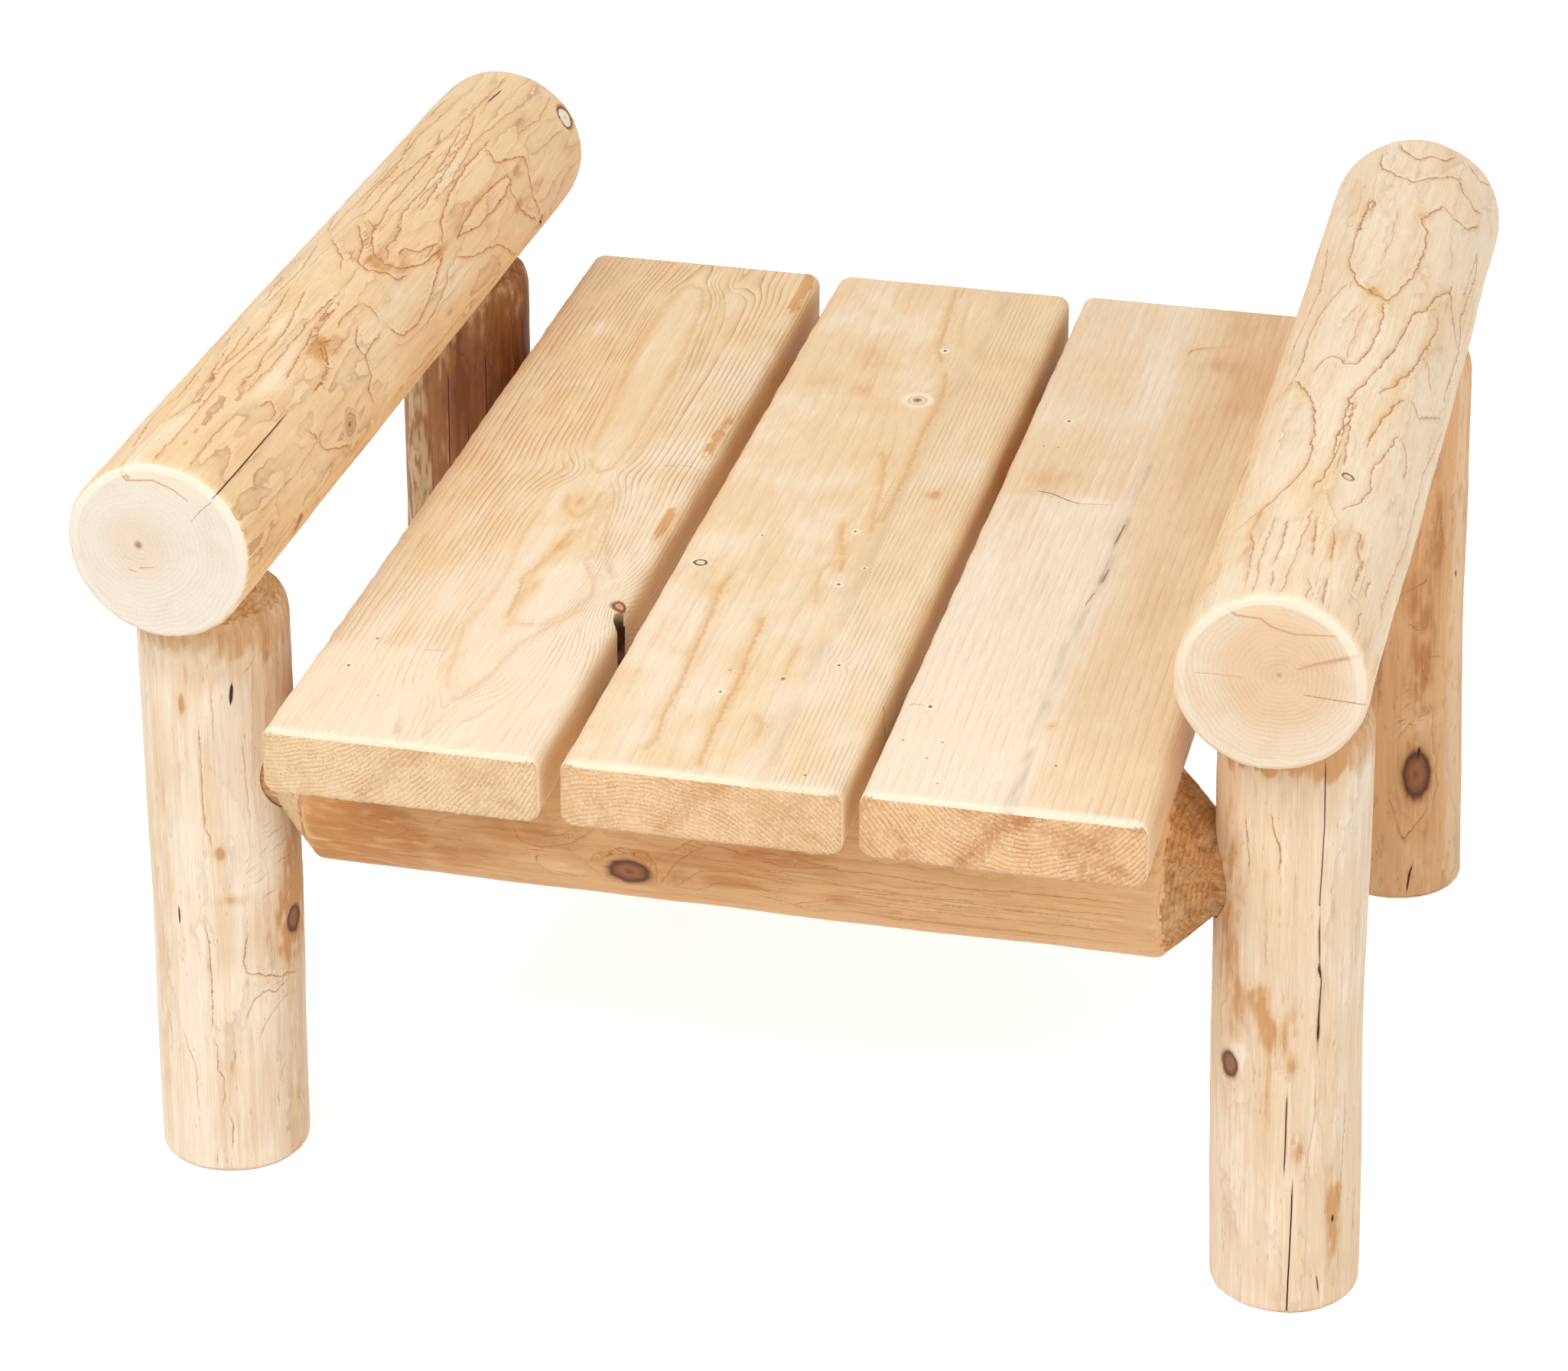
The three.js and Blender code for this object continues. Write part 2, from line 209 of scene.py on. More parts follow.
def vectors(items, key):
    """A vector property of a mesh's vertices or polygons, one row for each."""
    flat = np.empty(len(items) * 3, np.float32)
    items.foreach_get(key, flat)
    return flat.reshape(-1, 3).astype(float)


def set_fields(mesh, **fields):
    """Writes the fields, and each point's own place in metres for the patterns of the materials."""
    layer = mesh.attributes.new("place", "FLOAT_VECTOR", "POINT")
    layer.data.foreach_set("vector", vectors(mesh.vertices, "co").astype(np.float32).ravel())
    for name, values in fields.items():
        layer = mesh.attributes.new(name, "FLOAT", "POINT")
        layer.data.foreach_set("value", values.astype(np.float32))


def basis(start, finish, reference):
    """The frame of a log: +Z along it, +X as near as can be to the reference."""
    z = (finish - start).normalized()
    x = (reference - z * reference.dot(z)).normalized()
    matrix = Matrix((x, z.cross(x), z)).transposed().to_4x4()
    matrix.translation = start * MM + SHIFT
    return matrix


def dress(obj, node, materials, surfaces=None, angle=42):
    """Puts obj in its node's place, with its materials, and smooth but for edges above the angle."""
    mesh = obj.data
    mesh.materials.clear()
    for material in materials:
        mesh.materials.append(material)
    if surfaces is not None:
        mesh.polygons.foreach_set("material_index", surfaces.astype(np.int32))
    mesh.transform(obj.matrix_world)
    obj.matrix_world = Matrix.Identity(4)
    mesh.polygons.foreach_set("use_smooth", np.ones(len(mesh.polygons), bool))
    mesh.set_sharp_from_angle(angle=math.radians(angle))
    mesh.update()
    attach(obj, "root")
    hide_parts(node)


# Marks on a log, in places (distance along it, angle round it)

def wrap(angle):
    return (angle + 180) % 360 - 180


def around(angle, radius):
    return np.cos(np.radians(angle)) * radius, np.sin(np.radians(angle)) * radius


def from_mark(mark, z, theta, radius):
    """Distances from a mark's centre along a log and round it, in shares of the mark's size."""
    along, turn, length, across = mark[:4]
    return (z - along) / length, np.radians(wrap(theta - turn)) * radius / across


def off_path(path, z, theta, radius):
    """Signed distance round a log from a path that runs along it."""
    along, turn = np.array(path).T
    return np.radians(wrap(theta - np.interp(z, along, turn))) * radius


def beside_path(path, z, outer, inner):
    """1 along a path and 0 beyond it, with fades that reach outer and inner from its ends."""
    start, stop = path[0][0], path[-1][0]
    return smooth(start - outer, start + inner, z) * (1 - smooth(stop - inner, stop + outer, z))


def side_distance(u, v, path):
    """Distance from the points (u, v) to a path of (u, v) points, and the side of it that they are on."""
    best, sign = np.full(len(u), 1e9), np.ones(len(u))
    for (u0, v0), (u1, v1) in zip(path[:-1], path[1:]):
        du, dv = u1 - u0, v1 - v0
        t = np.clip(((u - u0) * du + (v - v0) * dv) / (du * du + dv * dv), 0, 1)
        eu, ev = u - u0 - t * du, v - v0 - t * dv
        d = np.hypot(eu, ev)
        nearer = d < best
        best = np.where(nearer, d, best)
        sign = np.where(nearer, np.sign(du * ev - dv * eu + 1e-12), sign)
    return best, sign


def line_fields(u, v, strokes, jag, seed, reach=4.5):
    """Signed distance to the nearest stroke, and how strongly that stroke shows at each point."""
    wave_u, wave_v = (cloud(u / 9, v / 5, 2.5, 2, seed + step) for step in (0, 5))
    u = u + jag * 1.6 * wave_u
    v = v + jag * wave_v
    line, force = np.full(len(u), 2 * reach), np.zeros(len(u))
    for path, strength in strokes:
        best, sign = side_distance(u, v, path)
        ends = np.minimum(*(np.hypot(u - end[0], v - end[1]) for end in (path[0], path[-1])))
        near = (best < reach) & (best < np.abs(line))
        line = np.where(near, best * sign, line)
        shown = (1 - smooth(0.67 * reach, 0.98 * reach, best)) * smooth(0, 7, ends)
        force = np.where(near, strength * shown, force)
    return line, force


# What a look leaves out. Its values: levels, grain (across, along), drift and facing shape the growth
# rings, step is the relief at each, contrast and tone are the wood's (on the rear left post tone also
# carries painted shade), neck darkens a post just under the arm, partly with ragged stains and partly
# with painted shade of the arm, and foot darkens its bottom edge as a painted contact shadow. A knot,
# stain or hill is (place, its length and width, kind or amount); a crack has its width and depth, a
# check its width, and a stroke its strength, each with its path.
PLAIN_LOG = {"drift": 2.5, "tone": 0.0, "line_jag": 1.5, "neck": 0.0, "foot": 0.0,
             "strokes": [], "knots": [], "stains": [], "hills": [], "cracks": [], "checks": []}
RING_JAG = 0.24
FACE_SHARES = (0.08, 0.2, 0.32, 0.44, 0.56, 0.67, 0.77, 0.86, 0.94, 1.0)
SAWN_RIM = ((0.2, 2.3), (0.8, 1.2), (1.8, 0.45), (3.0, 0.1))


def end_rows(end):
    """Rows (distance, radius, surface) of an end: its face, then its worn rim or its tenon."""
    rows = [(0.0, end[0][1] * share, END) for share in FACE_SHARES]
    if len(end) == 2:
        return rows + [(z, end[1][1] - inset, SIDE) for z, inset in SAWN_RIM]
    for (z0, r0), (z1, r1) in zip(end[:-1], end[1:]):
        hidden = abs(r0 - r1) < 1.0 and z1 - z0 > 12
        steps = max(1, round(math.hypot(z1 - z0, r1 - r0) / (HIDDEN_STEP if hidden else TENON_STEP)))
        rows += [(z0 + (z1 - z0) * k / steps, r0 + (r1 - r0) * k / steps, CUT)
                 for k in range(1, steps + 1)]
    return rows


class Log:
    """A peeled log, turned round its own +Z from its start."""

    def __init__(self, name, slot, shape, reference, bow, look):
        start, finish, self.ends = shape
        self.name, self.slot, self.bow, self.look = name, slot, bow, {**PLAIN_LOG, **look}
        self.length = (finish - start).length
        self.matrix = basis(start, finish, reference)
        self.head, self.tail = self.ends[0][-1], self.ends[1][-1]

    def share_at(self, z):
        return np.clip((z - self.head[0]) / (self.length - self.head[0] - self.tail[0]), 0, 1)

    def radius_at(self, z):
        return self.head[1] + (self.tail[1] - self.head[1]) * self.share_at(z)

    def bow_at(self, z):
        return self.bow * np.sin(np.pi * self.share_at(z)) ** 2

    def turned_radius(self, z):
        """Radius of the turned form at z, its tenons included."""
        outline = [*self.ends[0], *((self.length - z1, r) for z1, r in self.ends[1][::-1])]
        return np.interp(z, *np.array(outline).T)

    def places(self, p):
        """Of points in the log's frame: place along it, angle round it, its radius there, and the
        distance from its bowed axis."""
        z = np.clip(p[:, 2], 0, self.length)
        x, y = p[:, 0] - self.bow_at(z), p[:, 1]
        return z, np.degrees(np.arctan2(y, x)), self.radius_at(z), np.hypot(x, y)

    def build(self):
        head, tail = end_rows(self.ends[0]), end_rows(self.ends[1])
        z0, z1 = head[-1][0], self.length - tail[-1][0]
        count = round((z1 - z0) / MESH_STEP)
        body = [z0 + (z1 - z0) * k / count for k in range(1, count)]
        rows = np.array(head + [(z, self.radius_at(z), SIDE) for z in body]
                        + [(self.length - z, r, surface) for z, r, surface in tail[::-1]])
        columns = round(math.pi * max(self.head[1], self.tail[1]) / MESH_STEP) * 2
        theta = np.tile(np.arange(columns) * 360 / columns - 180, (len(rows), 1))
        for path, width, _ in self.look["cracks"]:
            theta = self.gather(theta, rows[:, 0], path, width)
        theta = theta.ravel()
        z, r = np.repeat(rows[:, 0], columns), np.repeat(rows[:, 1], columns)
        face = np.repeat(rows[:, 2] == END, columns)
        radius = self.radius_at(z)
        x, y = around(theta, 1)
        depth = self.relief(theta, z, radius)
        worked = np.where(face, 0, smooth(2.0, 12.0, radius - self.turned_radius(z)))
        rough = 0.35 + 0.45 * cloud(x * radius / 3, y * radius / 3, z / 3, 2, 91)
        pull = depth * (1 - worked) + np.clip(rough, 0, 1.2) * worked
        r = np.maximum(r - np.where(face, depth * r / radius, pull), 0.5)
        inward = np.where(z < self.length / 2, 1.0, -1.0)
        saw = 0.12 + 0.12 * cloud(x * r / 2.2, y * r / 9, 3.3, 1, 5)
        points = np.stack([r * x + self.bow_at(z), r * y,
                           z + np.where(face, inward * np.clip(saw, 0, 0.4), 0)], -1)
        points = np.vstack([points, [0, 0, 0.1], [0, 0, self.length - 0.1]])
        mesh = mesh_of(self.name, points, turned_faces(len(rows), columns))
        self.obj = add_object(self.name + "_wood", mesh, self.matrix)
        return self

    def gather(self, theta, z, path, width):
        """Draws the columns of the mesh to a crack, so that its groove is crisp."""
        along, turn = np.array(path).T
        inside = beside_path(path, z, 4, 4)
        columns = theta.shape[1]
        cell = 360 / columns
        middle = round((turn.mean() + 180) / 360 * columns) % columns
        out = theta.copy()
        shift = wrap(np.interp(z, along, turn) - theta[:, middle])
        near = math.degrees((width + 0.2) / max(self.head[1], self.tail[1]))
        for j in range(-10, 11):
            column = (middle + j) % columns
            out[:, column] += shift * math.exp(-(j / 6) ** 2)
            if abs(j) in (1, 2):
                goal = math.copysign(near if abs(j) == 1 else cell * 1.1, j)
                out[:, column] += inside * (goal - j * cell)
        return out

    def relief(self, theta, z, radius):
        """How far the surface lies inside the turned form."""
        x, y = around(theta, radius)
        look, seed = self.look, self.look["seed"]
        wide = 0.7 + 0.7 * cloud(x / 46, y / 46, z / 120, 2, seed + 3)
        fine = 0.12 + 0.16 * cloud(x / 6, y / 6, z / 22, 2, seed + 4)
        ring = self.ring(theta, z, radius)
        line, force = self.lines(theta, z)
        depth = np.clip(wide, 0, 1.6) + np.clip(fine, 0, 0.6) + look["step"] * (ring - np.floor(ring))
        depth += 0.4 * force * (1 - smooth(0, 4.0, line)) * smooth(-0.6, 0.6, line)
        for knot in look["knots"]:
            k = np.hypot(*from_mark(knot, z, theta, radius))
            depth += 0.5 * np.exp(-k ** 2 * 2) - 0.5 * np.exp(-((k - 1.35) / 0.3) ** 2)
            if knot[4] == "stub":
                depth += 0.9 * np.exp(-((k - 1.0) / 0.16) ** 2)
        for path, width, deep in look["cracks"]:
            across = np.abs(off_path(path, z, theta, radius))
            depth += deep * beside_path(path, z, 3, 20) * (1 - smooth(0, width + 0.17, across))
        return np.maximum(depth, 0)

    def ring(self, theta, z, radius):
        """The number of the growth ring that lies open at each point, as a running value."""
        x, y = around(theta, radius)
        look, seed = self.look, self.look["seed"]
        across, along = look["grain"]
        field = look["levels"] * cloud(x / across, y / across, z / along, 3, seed, 0.42)
        field += look["drift"] * np.cos(np.radians(theta - look["facing"] + 8 * np.sin(z / 90)))
        for hill in look["hills"]:
            du, dv = from_mark(hill, z, theta, radius)
            field += hill[4] * np.exp(-du ** 2 - dv ** 2)
        return field + RING_JAG * cloud(x / 6, y / 6, z / 11, 2, seed + 9)

    def lines(self, theta, z):
        """line_fields of the strokes, with the surface laid flat from the side that faces out."""
        look = self.look
        flat = lambda along, turn: np.radians(wrap(turn - look["facing"])) * self.radius_at(along)
        strokes = [([(along, flat(along, turn)) for along, turn in path], strength)
                   for path, strength in look["strokes"]]
        return line_fields(z, flat(z, theta), strokes, look["line_jag"], look["seed"] + 77)

    def spots(self):
        """The small knots that the side's material draws: centre, size and style of each."""
        out = []
        for z, turn, length, across, style in self.look["knots"]:
            if style != "dark":
                x, y = around(turn, self.radius_at(z) - 0.8)
                out.append(((x + self.bow_at(z), y, z), (across, across, length), style))
        return out

    def finish(self, materials, flats=False):
        """Computes the fields that the materials read, and sorts the faces by surface."""
        mesh, look, seed = self.obj.data, self.look, self.look["seed"]
        p = vectors(mesh.vertices, "co") / MM
        z, theta, radius, r = self.places(p)
        x, y = around(theta, r)
        ring = self.ring(theta, z, radius) + np.clip(radius - r - 1.6, 0, None) / 2.4
        grain = 0.62 + 0.5 * cloud(x / 30, y / 30, z / 70, 2, seed + 21)
        grain = np.clip(grain, 0.1, 1.2) * look["contrast"]
        tone = look["tone"] + 0.3 * cloud(x / 22, y / 22, z / 90, 3, seed + 31)
        rag = np.clip(0.75 + 0.9 * cloud(x / 4, y / 4, z / 14, 2, seed + 41), 0.1, 1.5)
        for stain in look["stains"]:
            du, dv = from_mark(stain, z, theta, radius)
            tone += stain[4] * rag * np.exp(-du ** 2 - dv ** 2)
        rim = self.length - self.tail[0]
        torn = 9 * cloud(x / 6, y / 6, z / 26, 2, 5) + 7 * cloud(x / 2.4, y / 2.4, z / 12, 2, 9)
        # Darker just under the arm (neck): partly ragged stains, partly painted shade of the arm. Darker
        # along the bottom edge (foot): a painted contact shadow.
        tone += look["neck"] * smooth(rim - 13, rim - 5, z + torn)
        tone += look["foot"] * (1 - smooth(0.8, 2.4, z))
        knot = np.full(len(z), 3.0)
        for mark in look["knots"]:
            du, dv = from_mark(mark, z, theta, radius)
            k = np.hypot(du, dv) + 0.12 * cloud(du * mark[2] / 4, dv * mark[3] / 4, seed, 1, 7)
            near = 1 - smooth(1.0, 1.5, k)
            ring = ring * (1 - near) + k * 3.0 * near
            grain = grain * (1 - near) + near * 0.9
            if mark[4] == "dark":
                knot = np.minimum(knot, k)
        line, force = self.lines(theta, z)
        grain = grain * (1 - 0.6 * force * (1 - smooth(2, 4, np.abs(line))))
        crack, crack_width = np.full(len(z), 9.0), np.full(len(z), -3.0)
        for path, width, *_ in look["cracks"] + look["checks"]:
            across = off_path(path, z, theta, radius)
            start, stop = path[0][0], path[-1][0]
            inside = beside_path(path, z, 1, min(16.0, (stop - start) / 3))
            near = (np.abs(across) < 6) & (z > start - 6) & (z < stop + 6) & (np.abs(across) < np.abs(crack))
            crack = np.where(near, across, crack)
            taper = np.where(inside > 0, -1.2 * (1 - inside), -3.0)
            crack_width = np.where(near, width + taper - np.clip(np.abs(across) - 2, 0, None), crack_width)
        set_fields(mesh, ring=ring, grain=grain, tone=np.clip(tone, -1, 1.5), knot=knot, crack=crack,
                   crack_width=crack_width, line=line, force=force, grey=np.zeros(len(z)))
        dress(self.obj, self.name, materials, self.surfaces(flats))

    def surfaces(self, flats):
        """Which surface each face belongs to."""
        mesh, seed = self.obj.data, self.look["seed"]
        c, n = vectors(mesh.polygons, "center") / MM, vectors(mesh.polygons, "normal")
        z, theta, radius, r = self.places(c)
        below = radius - r
        ragged = cloud(c[:, 0] / 7, c[:, 1] / 7, c[:, 2] / 12, 2, seed + 61)
        out = np.where(below > 3.2 + 2.5 * np.clip(0.4 + ragged, 0, 1.2), CUT, SIDE)
        for path, *_ in self.look["cracks"]:
            across = np.abs(off_path(path, z, theta, radius))
            there = (across < 2.5) & (below < 7) & (z > path[0][0] - 4) & (z < path[-1][0] + 4)
            out = np.where(there, SIDE, out)
        ends = (np.abs(n[:, 2]) > 0.8) & ((c[:, 2] < 0.8) | (c[:, 2] > self.length - 0.8))
        out = np.where(ends, END, out)
        return np.where(n[:, 1] > 0.985, CUT, out) if flats else out


# Shader nodes

class Nodes:
    """The node tree of a material or a world, written as short calls. Colours of three numbers are
    written as they look, 0 to 255, and along is the axis that the grain follows."""

    def __init__(self, owner, output="OutputMaterial", along=2):
        owner.use_nodes = True
        self.owner, self.tree, self.along = owner, owner.node_tree, along
        self.tree.nodes.clear()
        self.output = self.new(output)

    def new(self, kind, **inputs):
        node = self.tree.nodes.new("ShaderNode" + kind)
        for name, value in inputs.items():
            self.link(value, node.inputs[name.replace("_", " ")])
        return node

    def link(self, value, socket):
        if isinstance(value, bpy.types.NodeSocket):
            self.tree.links.new(value, socket)
        elif socket.type == "RGBA" and len(value) == 3:
            socket.default_value = srgb(*value)
        else:
            socket.default_value = value

    def math(self, operation, *values, clamp=False):
        node = self.new("Math")
        node.operation, node.use_clamp = operation, clamp
        for socket, value in zip(node.inputs, values):
            self.link(value, socket)
        return node.outputs[0]

    def times(self, a, b):
        return self.math("MULTIPLY", a, b)

    def plus(self, a, b):
        return self.math("ADD", a, b)

    def minus(self, a, b):
        return self.math("SUBTRACT", a, b)

    def scaled(self, value, scale, base):
        return self.math("MULTIPLY_ADD", value, scale, base)

    def sway(self, noise, amount, base=0.0):
        """The base moved up and down by a noise of 0 to 1."""
        return self.scaled(self.minus(noise, 0.5), amount, base)

    def field(self, name, output="Fac"):
        node = self.new("Attribute")
        node.attribute_name = name
        return node.outputs[output]

    def place(self, scale, shift=(0, 0, 0)):
        """Each point's own place in metres, scaled and shifted."""
        return self.new("Mapping", Vector=self.field("place", "Vector"), Scale=scale,
                        Location=shift).outputs[0]

    def stretched(self, across, along):
        return self.place([along if axis == self.along else across for axis in range(3)])

    def noise(self, vector, detail=3.0, roughness=0.5, scale=1.0, distortion=0.0):
        return self.new("TexNoise", Vector=vector, Scale=scale, Detail=detail, Roughness=roughness,
                        Distortion=distortion).outputs[0]

    def grain(self, across, along, detail=3.0, roughness=0.5, distortion=0.0):
        """Noise with its own scales across and along the grain."""
        return self.noise(self.stretched(across, along), detail, roughness, 1.0, distortion)

    def cells(self, vector, scale=1.0):
        return self.new("TexVoronoi", Vector=vector, Scale=scale).outputs["Distance"]

    def ramp(self, value, stops):
        """A piecewise-linear curve through stops of (position, value) or (position, red, green, blue)."""
        node = self.new("ValToRGB", Fac=value)
        elements = node.color_ramp.elements
        while len(elements) < len(stops):
            elements.new(0.5)
        for element, (position, *color) in zip(elements, stops):
            element.position = position
            element.color = srgb(*color) if len(color) == 3 else (*color * 3, 1)
        return node.outputs[0]

    def smooth(self, value, low_edge, high_edge, out_low=0.0, out_high=1.0):
        node = self.new("MapRange")
        node.interpolation_type = "SMOOTHSTEP"
        for socket, v in zip(node.inputs[:5], (value, low_edge, high_edge, out_low, out_high)):
            self.link(v, socket)
        return node.outputs[0]

    def mix(self, share, a, b, blend="MIX"):
        node = self.new("Mix")
        node.data_type, node.blend_type = "RGBA", blend
        for socket, value in zip((node.inputs[0], node.inputs[6], node.inputs[7]), (share, a, b)):
            self.link(value, socket)
        return node.outputs[2]

    def shaded(self, color, light):
        share = self.new("CombineColor", Red=light, Green=light, Blue=light)
        return self.mix(1.0, color, share.outputs[0], "MULTIPLY")

    def spot(self, centre, size):
        """Distance from a centre in mm, in shares of the size along each direction."""
        node = self.place(TO_MM)
        for operation, value in (("SUBTRACT", centre), ("MULTIPLY", [1 / s for s in size])):
            step = self.new("VectorMath")
            step.operation = operation
            self.link(node, step.inputs[0])
            step.inputs[1].default_value = value
            node = step.outputs[0]
        length = self.new("VectorMath", Vector=node)
        length.operation = "LENGTH"
        return length.outputs["Value"]

    def surface(self, color, roughness, height, relief, specular, metallic=0.0):
        """The finished material, with height as its bump, relief metres high."""
        bump = self.new("Bump", Height=height, Distance=relief, Strength=1.0)
        shader = self.new("BsdfPrincipled", Base_Color=color, Roughness=roughness, Metallic=metallic,
                          Specular_IOR_Level=specular, Normal=bump.outputs[0])
        self.link(shader.outputs[0], self.output.inputs["Surface"])
        return self.owner


# Strokes: how strongly their halo and their dark core show across them, as curves with the stroke's
# middle at 0.5, and how far along these curves a millimetre reaches
CRISP = ([(0.38, 0.0), (0.46, 0.26), (0.51, 0.85), (0.57, 0.55), (0.68, 0.26), (0.88, 0.0)],
         [(0.462, 0.0), (0.486, 0.8), (0.508, 1.0), (0.532, 0.55), (0.575, 0.0)], 0.1)
FINE = ([(0.42, 0.0), (0.475, 0.25), (0.51, 0.70), (0.55, 0.38), (0.67, 0.0)],
        [(0.465, 0.0), (0.487, 0.7), (0.508, 0.95), (0.528, 0.5), (0.565, 0.0)], 0.1)
SOFT = ([(0.10, 0.0), (0.34, 0.30), (0.44, 0.90), (0.50, 1.0), (0.62, 0.55), (0.76, 0.28), (0.92, 0.0)],
        None, 0.08)

# Knots: colours from the middle (0) over the edge (0.5) outwards, and where they fade into the wood
DARK_KNOT = ([(0.0, 92, 48, 26), (0.16, 156, 98, 58), (0.34, 132, 76, 42), (0.42, 84, 44, 24),
              (0.47, 62, 32, 18), (0.52, 128, 78, 44), (0.62, 196, 142, 92), (0.8, 232, 192, 146),
              (1.0, 240, 208, 168)], 0.95, 1.6)
SPOTS = {
    "eye": ([(0.0, 70, 40, 28), (0.06, 90, 52, 34), (0.10, 178, 122, 82), (0.20, 226, 184, 144),
             (0.27, 190, 138, 98), (0.33, 234, 200, 160), (0.41, 190, 138, 94), (0.50, 236, 204, 164)],
            0.95, 1.4),
    "stub": ([(0.0, 226, 190, 146), (0.05, 214, 176, 132), (0.10, 255, 246, 230), (0.38, 252, 240, 218),
              (0.42, 230, 205, 165), (0.455, 110, 68, 40), (0.50, 80, 46, 28), (0.55, 176, 124, 80),
              (0.66, 236, 200, 156)], 1.1, 1.5),
    "pit": ([(0.0, 110, 70, 44), (0.15, 240, 214, 180), (0.33, 236, 206, 168), (0.45, 104, 64, 38),
             (0.52, 150, 100, 62), (0.66, 240, 210, 172)], 1.0, 1.5),
    "ring": ([(0.0, 248, 226, 190), (0.33, 240, 212, 170), (0.39, 120, 80, 50), (0.46, 60, 34, 22),
              (0.52, 150, 104, 66), (0.60, 250, 232, 202)], 1.2, 1.8),
    "small": ([(0.0, 120, 86, 58), (0.12, 150, 112, 78), (0.17, 208, 168, 122), (0.24, 176, 132, 90),
               (0.30, 250, 234, 204), (0.50, 230, 194, 146), (0.60, 252, 236, 208)], 1.4, 2.2),
    "pin": ([(0.0, 84, 56, 38), (0.14, 110, 76, 50), (0.20, 252, 238, 212), (0.50, 250, 234, 206)],
            0.7, 1.3),
    "speck": ([(0.0, 140, 100, 66), (0.2, 190, 150, 110)], 0.25, 0.55),
    "curl": ([(0.0, 120, 64, 40), (0.12, 196, 128, 88), (0.25, 228, 172, 126), (0.33, 150, 84, 52),
              (0.42, 104, 52, 32), (0.50, 196, 126, 82)], 0.95, 1.3),
}
SPECK_BROWN, CRACK_BROWN, CRACK_BLACK, WEATHERED = (150, 98, 52), (150, 92, 50), (38, 22, 13), (150, 134, 112)
PORE_BROWN, PORE_PALE, PITH, RIM_HIGHLIGHT = (150, 96, 54), (250, 228, 192), (170, 112, 70), (255, 243, 222)
ORANGE, UMBER = (206, 142, 84), (150, 98, 58)
TO_MM = (1000, 1000, 1000)


def side_wood(name, light, pale, warm, line, along=2, jag=0.16, relief=0.0004, stripe=0.10, speck=0.0,
              edges=CRISP, halo=(214, 150, 86), spots=()):
    """Wood along the grain. It reads the ring, grain, tone, line, knot and crack fields of the mesh."""
    n = Nodes(bpy.data.materials.new(name), along=along)
    wobble = n.grain(420, 70, 3, 0.6)
    fibres = n.grain(1500, 55, 4, 0.65)
    nicks = n.grain(430, 250, 3, 0.65)
    late = n.ramp(n.math("FRACT", n.sway(wobble, jag * 2, n.field("ring"))), [
        (0, 0.0), (0.3, 0.03), (0.62, 0.2), (0.85, 0.5), (0.935, 1.0), (0.98, 0.95), (1.0, 0.0)])
    broken = n.smooth(n.grain(60, 22, 2), 0.3, 0.62, 0.25, 1.0)
    late = n.times(late, n.times(broken, n.field("grain")))
    tone = n.sway(n.grain(34, 14, 3, 0.55), 0.9, n.field("tone"))
    tone = n.sway(n.grain(330, 9, 3, 0.6), stripe * 8, tone)
    base = n.mix(n.smooth(tone, -0.5, 0.1), pale, light)
    base = n.mix(n.smooth(tone, 0.1, 1.0), base, warm)
    color = n.mix(n.times(late, 0.85), base, line)
    color = n.shaded(color, n.smooth(fibres, 0.25, 0.75, 0.90, 1.06))
    if speck:
        pits = n.smooth(n.cells(n.stretched(260, 60)), 0.05, 0.14, speck, 0.0)
        color = n.mix(pits, color, SPECK_BROWN)

    halo_stops, core_stops, step = edges
    edge = n.sway(nicks, 2.2, n.sway(fibres, 0.7, n.sway(wobble, 1.0, n.field("line"))))
    force = n.times(n.field("force"), n.smooth(nicks, 0.3, 0.6, 0.55, 1.0))
    across = n.scaled(edge, step, 0.5)
    color = n.mix(n.times(n.ramp(across, halo_stops), force), color, halo)
    if core_stops:
        color = n.mix(n.times(n.ramp(across, core_stops), force), color, line)
    color = n.mix(n.field("grey"), color, WEATHERED)

    knots = [(n.field("knot"), DARK_KNOT, 0.93)]
    knots += [(n.spot(centre, size), SPOTS[style], 0.95) for centre, size, style in spots]
    shake = n.sway(wobble, 0.25)
    for distance, (stops, fade_from, fade_to), strength in knots:
        k = n.plus(distance, shake)
        color = n.mix(n.smooth(k, fade_from, fade_to, strength, 0.0), color, n.ramp(n.times(k, 0.5), stops))

    crack = n.minus(n.math("ABSOLUTE", n.field("crack")), n.field("crack_width"))
    crack = n.sway(fibres, 0.5, crack)
    black = n.smooth(crack, 0.0, 0.35, 1.0, 0.0)
    color = n.mix(n.smooth(crack, 0.05, 1.0, 0.5, 0.0), color, CRACK_BROWN)
    color = n.mix(black, color, CRACK_BLACK)
    height = n.scaled(late, -0.5, n.times(fibres, 0.35))
    height = n.scaled(black, -1.0, n.scaled(n.grain(150, 45), 0.6, height))
    return n.surface(color, n.smooth(fibres, 0.2, 0.8, 0.52, 0.68), height, relief, 0.35)


